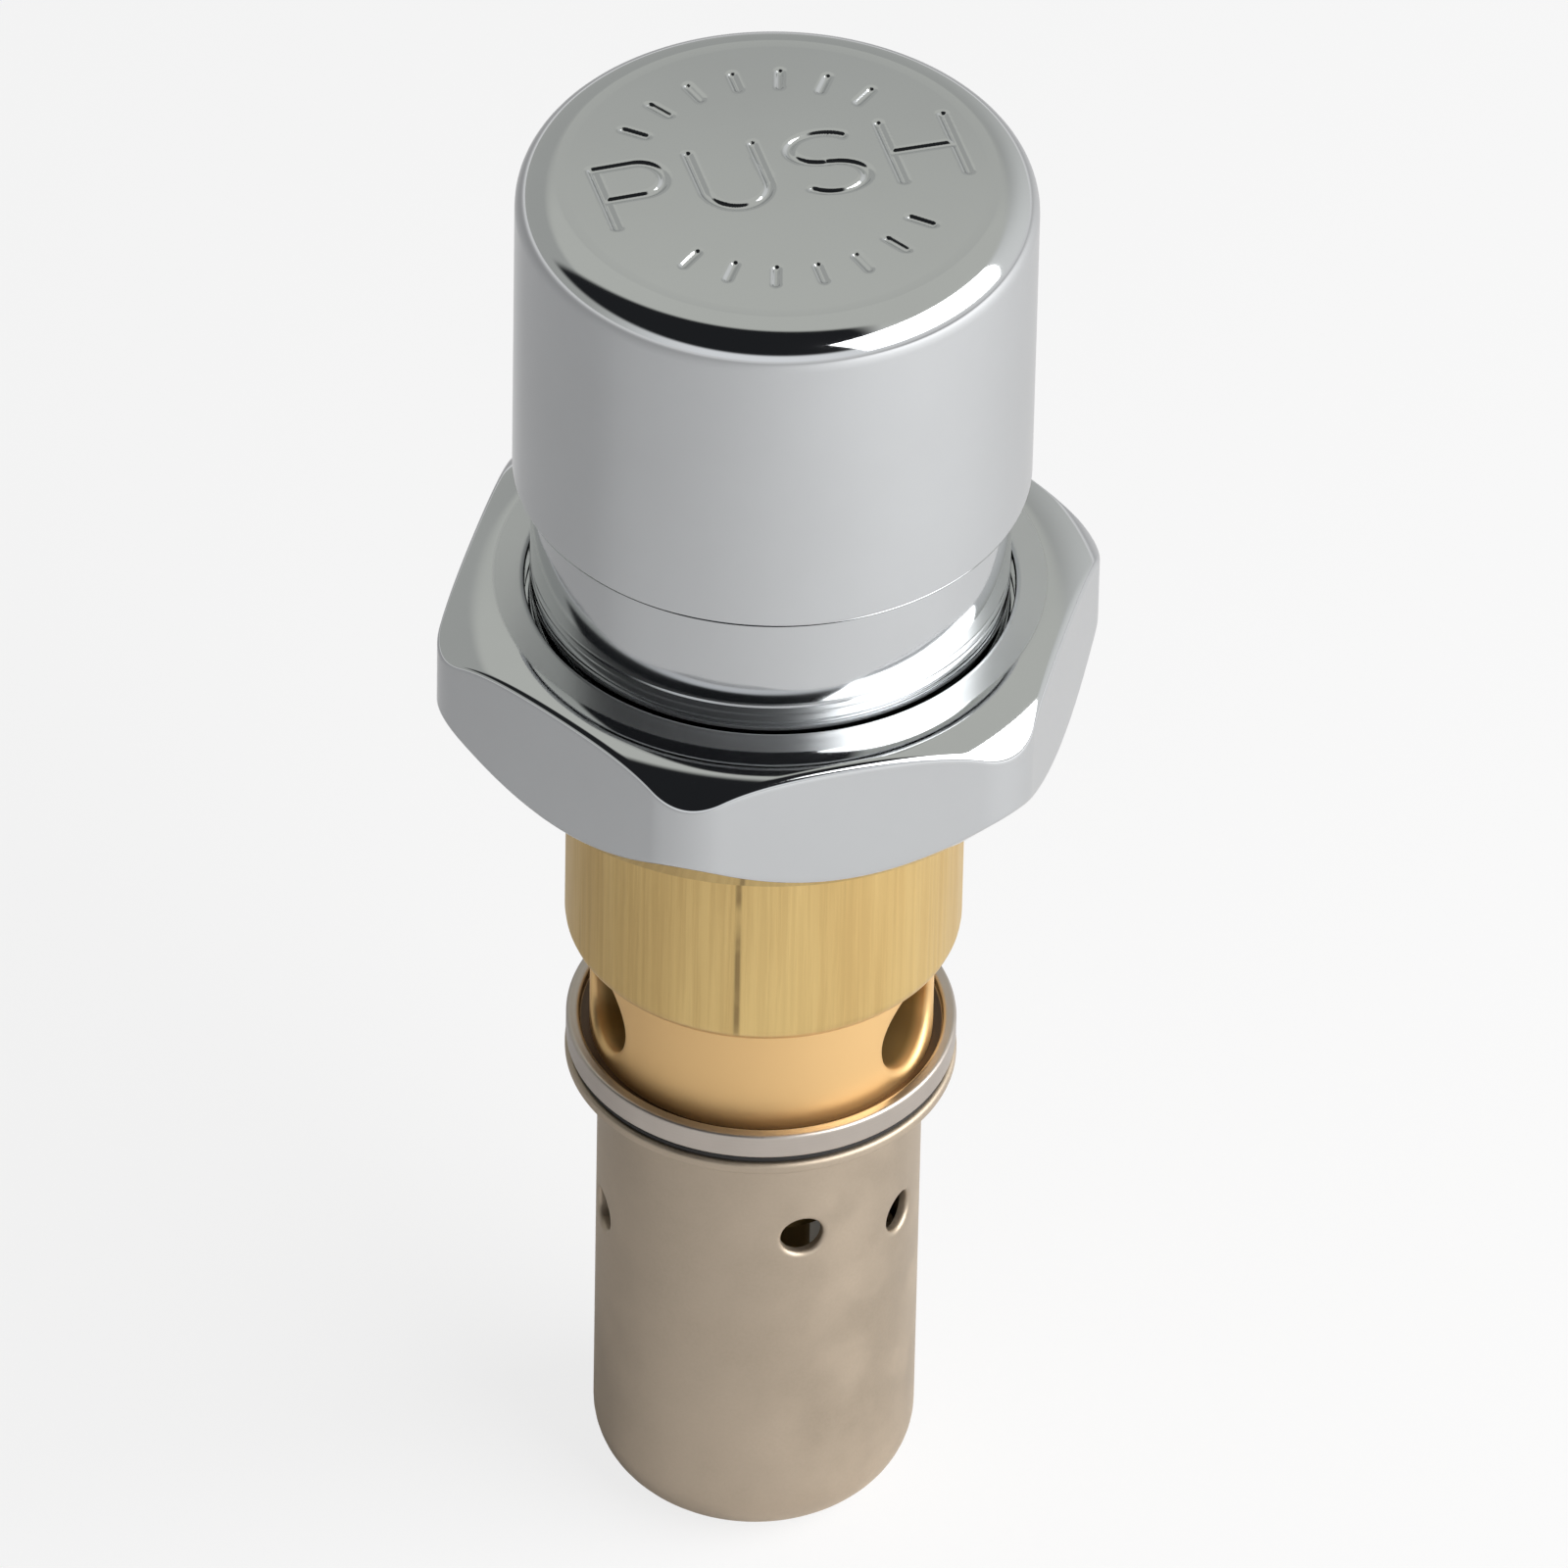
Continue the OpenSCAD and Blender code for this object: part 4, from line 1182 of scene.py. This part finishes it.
@dataclass
class BrassBody:
    """Brass valve body with its three outlet ports.

    Attributes:
        band: radius of the port band.
        band_height: height of the port band.
        ring_rim: height of the clamp ring's rim above the foot of the band.
        spigot: radius of the spigot that the cup screws on.
        chamber: radius of the outlet chamber.
        chamber_rise: height of the chamber above the foot of the band.
        thread: radius of the threaded end inside the sleeve.
        stem_room: room round the stem.
        relief: depth of the relief behind the bonnet gasket.
        step_edge: radius of the edge above the port band.
        edge: radius of the other edges above the band.
        foot_edges: radii of the edges below the band in millimetres, from the chamber to the spigot.
        circlip_grip: depth of the circlip's groove.
        outlets: bearings of the ports in degrees.
        outlet_radius: radius of a port.
        outlet_bevel: width of the worn bevel round a port's mouth.
        outlet_rise: height of the ports above the foot of the band.
        outlet_spread: how many angles a port's patch reaches to each side.
        rows: rows of the band's wall.
        angles: angles round the axis at which it is drawn.
    """

    band: float = 10.3 * MM
    band_height: float = 7.8 * MM
    ring_rim: float = 0.6 * MM
    spigot: float = 9.0 * MM
    chamber: float = 6.2 * MM
    chamber_rise: float = 13.0 * MM
    thread: float = 10.7 * MM
    stem_room: float = 0.3 * MM
    relief: float = 0.5 * MM
    step_edge: float = 1.2 * MM
    edge: float = 0.1 * MM
    foot_edges: tuple[float, ...] = (0.05, 0.05, 0.1, 0.3, 0.1)
    circlip_grip: float = 0.5 * MM
    outlets: tuple[float, ...] = (66.0, 180.0, 294.0)
    outlet_radius: float = 2.85 * MM
    outlet_bevel: float = 0.5 * MM
    outlet_rise: float = 3.6 * MM
    outlet_spread: int = 22
    rows: int = 24
    angles: Array = field(default_factory=lambda: full_turn(240))

    def build(self) -> bpy.types.Object:
        """Port band as a ported wall, with the turned outlines above and below it."""
        radius, foot, top = reach("valve_body")
        seat_radius, _, seat_top = reach("valve_seat")
        gasket_foot, gasket_top = (corner.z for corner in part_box("bonnet_gasket"))
        clip_foot, clip_top = (corner.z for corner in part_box("gland_circlip"))
        gland_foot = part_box("stem_orings")[0].z
        gland = reach("gland_bush")[0]
        stem = reach("stem")[0] + self.stem_room
        band_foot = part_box("clamp_ring")[1].z - self.ring_rim
        band_top = band_foot + self.band_height
        chamber_top = band_foot + self.chamber_rise
        clip, waist = gland + self.circlip_grip, radius - self.relief
        above = np.array([
            [self.band, band_top], [radius, band_top], [radius, gasket_foot], [waist, gasket_foot],
            [waist, gasket_top], [self.thread, gasket_top], [self.thread, top], [gland, top],
            [gland, clip_top], [clip, clip_top], [clip, clip_foot], [gland, clip_foot], [gland, gland_foot],
            [stem, gland_foot], [stem, chamber_top + self.chamber / 2], [self.chamber, chamber_top],
            [self.chamber, band_top],
        ])
        rounds_above = np.full(len(above), self.edge)
        rounds_above[1] = self.step_edge
        below = np.array([
            [self.chamber, band_foot], [self.chamber, seat_top], [seat_radius, seat_top],
            [seat_radius, foot], [self.spigot, foot], [self.spigot, band_foot], [self.band, band_foot],
        ])
        rounds_below = np.array([0, *self.foot_edges, 0]) * MM
        heights = np.linspace(band_foot, band_top, self.rows + 1)
        ports = tuple(
            Port(bearing, band_foot + self.outlet_rise, self.outlet_radius, self.outlet_bevel)
            for bearing in self.outlets
        )
        patches = ((0, self.rows),) * len(ports)
        band = PortedWall(self.band, self.chamber, self.angles, heights, ports, self.outlet_spread, patches)
        shell = (
            band.shell()
            + turned(above, rounds_above, steps=7, angles=self.angles)
            + turned(below, rounds_below, steps=4, angles=self.angles)
        )
        return Piece("brass_body", "valve_body", Body.CARTRIDGE, Slot.BRASS).settle(shell)


@dataclass
class TimingCup:
    """Nickel cup with a rounded foot, a lip and six stepped inlet ports.

    Attributes:
        radius: outer radius of the wall.
        wall: thickness of the wall.
        floor: thickness of the foot.
        foot_round: radius of the rounded foot.
        straight: plain stretch of the wall beside the rounded foot and beside the fillet under the lip.
        lip: thickness of the lip.
        lip_fillet: radius under the lip.
        lip_edge: radius of the lip's outer edges.
        mouth_edge: radius of the edge of its mouth.
        inlet_radius: radius of an inlet port.
        inlet_bevel: width of the worn bevel round a port's mouth.
        inlet_drop: depth of the first pair below the lip's top.
        inlet_step: step down from one pair to the next.
        inlet_bearing: bearing of the first pair in degrees.
        inlet_turn: turn from one pair to the next in degrees.
        inlet_pairs: number of pairs.
        row_count: rows of the wall in one inlet step.
        angles: angles round the axis at which it is drawn.
    """

    radius: float = 9.75 * MM
    wall: float = 0.65 * MM
    floor: float = 0.8 * MM
    foot_round: float = 4.3 * MM
    straight: float = 0.3 * MM
    lip: float = 0.8 * MM
    lip_fillet: float = 0.9 * MM
    lip_edge: float = 0.25 * MM
    mouth_edge: float = 0.1 * MM
    inlet_radius: float = 1.3 * MM
    inlet_bevel: float = 0.3 * MM
    inlet_drop: float = 7.7 * MM
    inlet_step: float = 1.9 * MM
    inlet_bearing: float = 20.0
    inlet_turn: float = 45.0
    inlet_pairs: int = 3
    row_count: int = 9
    angles: Array = field(default_factory=lambda: full_turn(288))

    def build(self) -> bpy.types.Object:
        """Ported wall, with the turned outlines of the lip above it and the foot below it."""
        lip_radius, foot, top = reach("timing_cup")
        bore = self.radius - self.wall
        lip_foot, base_top = top - self.lip, foot + self.floor
        row = self.inlet_step / self.row_count
        spread = self.row_count + 1
        first = top - self.inlet_drop
        last = first - (self.inlet_pairs - 1) * self.inlet_step
        dense = np.arange(round((first - last) / row) + 2 * spread + 1) * row + last - spread * row
        low, high = foot + self.foot_round + self.straight, lip_foot - self.lip_fillet - self.straight
        heights = np.concatenate([[low], dense, [high]])
        ports, rows = [], []
        for pair in range(self.inlet_pairs):
            height = first - pair * self.inlet_step
            middle = 1 + spread + (self.inlet_pairs - 1 - pair) * self.row_count
            for side in (0, 180):
                bearing = self.inlet_bearing + pair * self.inlet_turn + side
                ports.append(Port(bearing, height, self.inlet_radius, self.inlet_bevel))
                rows.append((middle - spread, middle + spread))
        wall = PortedWall(self.radius, bore, self.angles, heights, tuple(ports), spread, tuple(rows))
        lip = np.array([
            [self.radius, high], [self.radius, lip_foot], [lip_radius, lip_foot], [lip_radius, top],
            [bore, top], [bore, high],
        ])
        lip_rounds = np.array([0, self.lip_fillet, self.lip_edge, self.lip_edge, self.mouth_edge, 0])
        base = np.array([
            [bore, low], [bore, base_top], [0, base_top], [0, foot], [self.radius, foot], [self.radius, low]
        ])
        base_rounds = np.array([0, self.foot_round - self.wall, 0, 0, self.foot_round, 0])
        shell = (
            wall.shell()
            + turned(lip, lip_rounds, steps=8, angles=self.angles)
            + turned(base, base_rounds, steps=16, angles=self.angles)
        )
        return Piece("nickel_cup", "timing_cup", Body.CARTRIDGE, Slot.SATIN_NICKEL).settle(shell)


@dataclass
class FlangeStack:
    """Clamp ring and rubber gasket between the cup's lip and the brass body.

    Attributes:
        bore: radius of both bores.
        rim_wall: wall of the clamp ring's rim.
        rim_height: height of the rim above the ring's floor.
        edge: radius of the ring's edges.
        bore_edge: radius of the edges of its bore.
        floor_fillet: radius between its floor and its rim.
        bulge: radii of the gasket's edges at its bore and at its rim.
        angles: angles round the axis at which they are drawn.
    """

    bore: float = 9.1 * MM
    rim_wall: float = 0.8 * MM
    rim_height: float = 0.6 * MM
    edge: float = 0.22 * MM
    bore_edge: float = 0.05 * MM
    floor_fillet: float = 0.1 * MM
    bulge: Pair = (0.04 * MM, 0.2 * MM)
    angles: Array = field(default_factory=lambda: full_turn(288))

    def build(self) -> list[bpy.types.Object]:
        """Turn both rings."""
        radius, foot, top = reach("clamp_ring")
        floor = top - self.rim_height
        rim = radius - self.rim_wall
        ring = np.array([
            [self.bore, foot], [radius, foot], [radius, top], [rim, top], [rim, floor], [self.bore, floor]
        ])
        rounds = np.array([self.bore_edge, *[self.edge] * 3, self.floor_fillet, self.bore_edge])
        clamp = turned(ring, rounds, steps=6, angles=self.angles, closed=True)
        radius, foot, top = reach("flange_gasket")
        washer = np.array([[self.bore, foot], [radius, foot], [radius, top], [self.bore, top]])
        bulge = np.array([*self.bulge, *self.bulge[::-1]])
        seal = turned(washer, bulge, steps=5, angles=self.angles, closed=True)
        return [
            Piece("rimmed_clamp_ring", "clamp_ring", Body.CARTRIDGE, Slot.BRIGHT_NICKEL).settle(clamp),
            Piece("lip_gasket", "flange_gasket", Body.CARTRIDGE, Slot.RUBBER).settle(seal),
        ]


@dataclass
class ReturnSpring:
    """Coil spring inside the button, with a close turn at each end.

    Attributes:
        wire: diameter of the wire.
        turns: number of turns.
        end_pitch: rise of the close turn at each end.
        travel: how far the button presses it.
        steps: points along one turn.
        sides: points round the wire.
    """

    wire: float = 1.4 * MM
    turns: int = 7
    end_pitch: float = 1.85 * MM
    travel: float = 6.0 * MM
    steps: int = 48
    sides: int = 14

    def build(self) -> bpy.types.Object:
        """Sweep a circle along the helix; its rise per turn is small at the ends and even between them."""
        low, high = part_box("return_spring")
        foot, top = low.z + self.wire / 2, high.z - self.wire / 2
        mean = high.x - self.wire / 2
        turn = np.linspace(0, self.turns, self.turns * self.steps + 1)
        pitch = (top - foot - 2 * self.end_pitch) / (self.turns - 2)
        rise = (
            foot
            + self.end_pitch * (np.minimum(turn, 1) + np.maximum(turn - self.turns + 1, 0))
            + pitch * np.clip(turn - 1, 0, self.turns - 2)
        )
        thick = np.full(len(turn), self.wire / 2)
        turn, rise, thick = (np.concatenate([row[:1], row, row[-1:]]) for row in (turn, rise, thick))
        thick[[0, -1]] = 0
        around = np.linspace(0, 2 * math.pi, self.sides, endpoint=False)
        radius = mean + thick[:, None] * np.cos(around)
        height = rise[:, None] + thick[:, None] * np.sin(around)
        grid = wound(radius, 2 * math.pi * turn[:, None], height)
        shell = Shell.over(grid, close_u=False, close_v=True)
        spring = Piece("coil_spring", "return_spring", Body.CARTRIDGE, Slot.STEEL).settle(shell)
        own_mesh(spring)
        return spring


@dataclass(frozen=True)
class InnerWorks:
    """Pieces inside the cartridge that keep their CAD shape."""

    def dress(self) -> None:
        """Give every CAD node the finish of its slot in the record."""
        for part in frame["record"]["subparts"]:
            node = frame["nodes"][part["node"]]
            node.data.materials.clear()
            node.data.materials.append(FINISHES[Slot(part["material_slot"])].material())
            LOG.info("%s wears %s", part["node"], part["material_slot"])


@dataclass(frozen=True)
class Softbox:
    """Oblong lamp that faces the object.

    Attributes:
        name: name of the lamp.
        bearing: bearing of the lamp in degrees.
        lift: its angle above the floor in degrees.
        distance: its distance from the object.
        size: its width and height.
        glow: brightness of its face, where 1 is white.
    """

    name: str
    bearing: float
    lift: float
    distance: float
    size: Pair
    glow: float

    def hang(self, target: Vector) -> bpy.types.Object:
        """Place the lamp; its power is pi times its glow times its area.

        Args:
            target: place that it faces.

        Returns:
            The lamp.
        """
        lamp = bpy.data.lights.new(self.name, "AREA")
        lamp.shape = "RECTANGLE"
        lamp.size, lamp.size_y = self.size
        lamp.energy = math.pi * self.glow * self.size[0] * self.size[1]
        lamp_object = bpy.data.objects.new(self.name, lamp)
        bpy.context.scene.collection.objects.link(lamp_object)
        away = direction(self.bearing, self.lift)
        lamp_object.location = target + away * self.distance
        lamp_object.rotation_euler = away.to_track_quat("Z", "Y").to_euler()
        return lamp_object


def direction(bearing: float, lift: float) -> Vector:
    """Unit vector towards a bearing and an angle above the floor, both in degrees."""
    turn, rise = math.radians(bearing), math.radians(lift)
    return Vector((math.sin(turn) * math.cos(rise), -math.cos(turn) * math.cos(rise), math.sin(rise)))


@dataclass
class Studio:
    """Pale floor, soft surroundings, lamp and camera.

    Attributes:
        view_bearing: bearing of the camera in degrees.
        view_lift: angle of its line of sight above the floor, in degrees.
        view_roll: roll of the camera in degrees.
        view_distance: distance of the camera from its aim.
        aim: place that it looks at, sideways from the axis and above the floor.
        lens: focal length in millimetres.
        floor_radius: radius of the floor.
        floor_tone: darkest and palest tone of the floor.
        floor_cloud: size of the cloud between them, in millimetres.
        floor_white: how much of the floor's look is plain white to polished surfaces, close to the object and
            far from it, and to the eye.
        floor_reach: distances at which the floor counts as close and as far.
        ambient: even light of the room on matt surfaces.
        room_sides: colours of the room at the back or left and at the right.
        room_top: colour of the room above.
        room_top_from: heights of a direction between which that colour takes over.
        room_front: colour of the room in front.
        room_front_from: how far to the front that colour starts and is full.
        canopy: colour of the dark canopy above the front.
        canopy_edges: edges of the canopy. Each is a plane through the object, given by how much a direction
            to the right, to the front and up counts towards the dark side, and an offset.
        canopy_soft: half width of its soft edges.
        lamps: the lamps.
    """

    view_bearing: float = 3.5
    view_lift: float = 39.98
    view_roll: float = 1.19
    view_distance: float = 1.229
    aim: Pair = (1.08 * MM, 52.55 * MM)
    lens: float = 475.4
    floor_radius: float = 4.0
    floor_tone: Pair = (0.9, 0.93)
    floor_cloud: float = 120.0
    floor_white: tuple[float, float, float] = (0.06, 0.8, 0.8)
    floor_reach: Pair = (0.14, 1.1)
    ambient: Colour = (0.13, 0.13, 0.1326, 1.0)
    room_sides: tuple[Colour, Colour] = ((0.46, 0.47, 0.45, 1.0), (0.88, 0.89, 0.88, 1.0))
    room_top: Colour = (0.62, 0.63, 0.59, 1.0)
    room_top_from: Pair = (0.55, 0.66)
    room_front: Colour = (0.97, 0.98, 1.0, 1.0)
    room_front_from: Pair = (0.1, 1.0)
    canopy: Colour = (0.018, 0.019, 0.021, 1.0)
    canopy_edges: tuple[tuple[float, float, float, float], ...] = (
        (-0.27, 1.0, -0.02, 0.0),
        (-0.72, 0.52, 0.2, 0.0),
        (0.0, 0.0, 1.0, -0.27),
    )
    canopy_soft: float = 0.07
    lamps: tuple[Softbox, ...] = (Softbox("right_softbox", 73.0, 30.0, 0.46, (0.62, 0.36), 4.9),)

    def build(self) -> None:
        """Set up everything around the object."""
        self._floor()
        self._surroundings()
        for lamp in self.lamps:
            lamp.hang(Vector((0, 0, self.aim[1])))
        self._camera()
        bpy.context.scene.view_settings.view_transform = "Standard"

    def _floor(self) -> None:
        """Round pale floor: rings of points from the middle out, in the plane of the foot."""
        ring = np.linspace(0, self.floor_radius, 5)[::-1]
        shell = Shell.over(wound(ring, full_turn(64)[:, None], 0.0))
        mesh = shell.mesh("floor", math.radians(Piece.crease))
        floor = bpy.data.objects.new("floor", mesh)
        bpy.context.scene.collection.objects.link(floor)
        material = bpy.data.materials.new("pale_floor")
        material.use_nodes = True
        board = Board(material.node_tree)
        shader = material.node_tree.nodes["Principled BSDF"]
        place = board.add("ShaderNodeTexCoord").outputs["Object"]
        cloud = board.group(mottle_group(), Vector=place, Cloud_Size=self.floor_cloud).outputs["Cloud"]
        low, high = ((tone, tone, tone, 1.0) for tone in self.floor_tone)
        board.fill(shader, Base_Color=board.blend(cloud, low, high), Roughness=0.9, Specular_IOR_Level=0.0)
        away = board.add("ShaderNodeVectorMath", operation="LENGTH")
        board.feed(away, 0, place)
        *reflected, seen = self.floor_white
        share = board.span(away.outputs["Value"], self.floor_reach, reflected)
        share = board.product(self._seen(board), share)
        eye = board.add("ShaderNodeLightPath").outputs[Ray.CAMERA.value]
        mix = board.add("ShaderNodeMixShader")
        board.feed(mix, 0, board.sum_up("MAXIMUM", share, board.product(eye, seen)))
        board.feed(mix, 1, shader.outputs[0])
        board.feed(mix, 2, board.add("ShaderNodeEmission").outputs[0])
        board.feed(material.node_tree.nodes["Material Output"], "Surface", mix.outputs[0])
        mesh.materials.append(material)

    def _seen(self, board: Board) -> Socket:
        """1 on the light paths of the eye and of polished or clear surfaces, 0 on all others."""
        path = board.add("ShaderNodeLightPath")
        camera, glossy, clear = (path.outputs[ray.value] for ray in Ray)
        return board.sum_up("MAXIMUM", camera, board.sum_up("MAXIMUM", glossy, clear))

    def _surroundings(self) -> None:
        """Even light on matt surfaces; to the eye and to polished ones a pale room with a dark canopy.

        The room is paler to the right and low in front. The canopy is the soft-edged overlap of half spaces,
        each the directions whose weighted sum of right, front and up passes its edge.
        """
        world = bpy.data.worlds.new("room")
        bpy.context.scene.world = world
        world.use_nodes = True
        board = Board(world.node_tree)
        background = world.node_tree.nodes["Background"]
        look = board.add("ShaderNodeTexCoord").outputs["Generated"]
        sideways, ahead = direction(self.view_bearing + 90, 0), direction(self.view_bearing, 0)
        right, front = (self._along(board, look, way) for way in (sideways, ahead))
        sides = []
        for to_right, to_front, to_top, offset in self.canopy_edges:
            way = sideways * to_right + ahead * to_front + Vector((0, 0, to_top))
            depth = board.sum_up("ADD", self._along(board, look, way), offset)
            sides.append(board.span(depth, (-self.canopy_soft, self.canopy_soft), RISE))
        up = self._along(board, look, Vector((0, 0, 1)))
        pale = board.blend(board.span(right, RISE, RISE), *self.room_sides)
        pale = board.blend(board.span(up, self.room_top_from, RISE), pale, self.room_top)
        pale = board.blend(board.span(front, self.room_front_from, RISE), pale, self.room_front)
        room = board.blend(board.product(*sides), pale, self.canopy)
        board.fill(background, Color=board.blend(self._seen(board), self.ambient, room), Strength=1.0)

    def _along(self, board: Board, vector: Socket, way: Vector) -> Socket:
        """Length of a vector along a direction."""
        node = board.add("ShaderNodeVectorMath", operation="DOT_PRODUCT")
        board.feed(node, 0, vector)
        board.feed(node, 1, way)
        return node.outputs["Value"]

    def _camera(self) -> None:
        """Camera on its line of sight, rolled about it."""
        camera = bpy.data.cameras.new("camera")
        camera.lens = self.lens
        camera.clip_end = 20.0
        camera_object = bpy.data.objects.new("camera", camera)
        bpy.context.scene.collection.objects.link(camera_object)
        turn = math.radians(self.view_bearing)
        aim = Vector((self.aim[0] * math.cos(turn), self.aim[0] * math.sin(turn), self.aim[1]))
        away = direction(self.view_bearing, self.view_lift)
        roll = Matrix.Rotation(math.radians(self.view_roll), 3, "Z")
        rotation = away.to_track_quat("Z", "Y").to_matrix() @ roll
        camera_object.matrix_world = Matrix.Translation(aim + away * self.view_distance) @ rotation.to_4x4()
        bpy.context.scene.camera = camera_object


def main() -> None:
    """Build the studio, dress the CAD nodes, then build every piece in order."""
    logging.basicConfig(level=logging.INFO, format="%(message)s")
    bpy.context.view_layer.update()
    Studio().build()
    InnerWorks().dress()
    parts = (PushButton(), CapNut(), BonnetSleeve(), BrassBody(), TimingCup(), FlangeStack(), ReturnSpring())
    for part in parts:
        part.build()


if __name__ == "__main__":
    main()
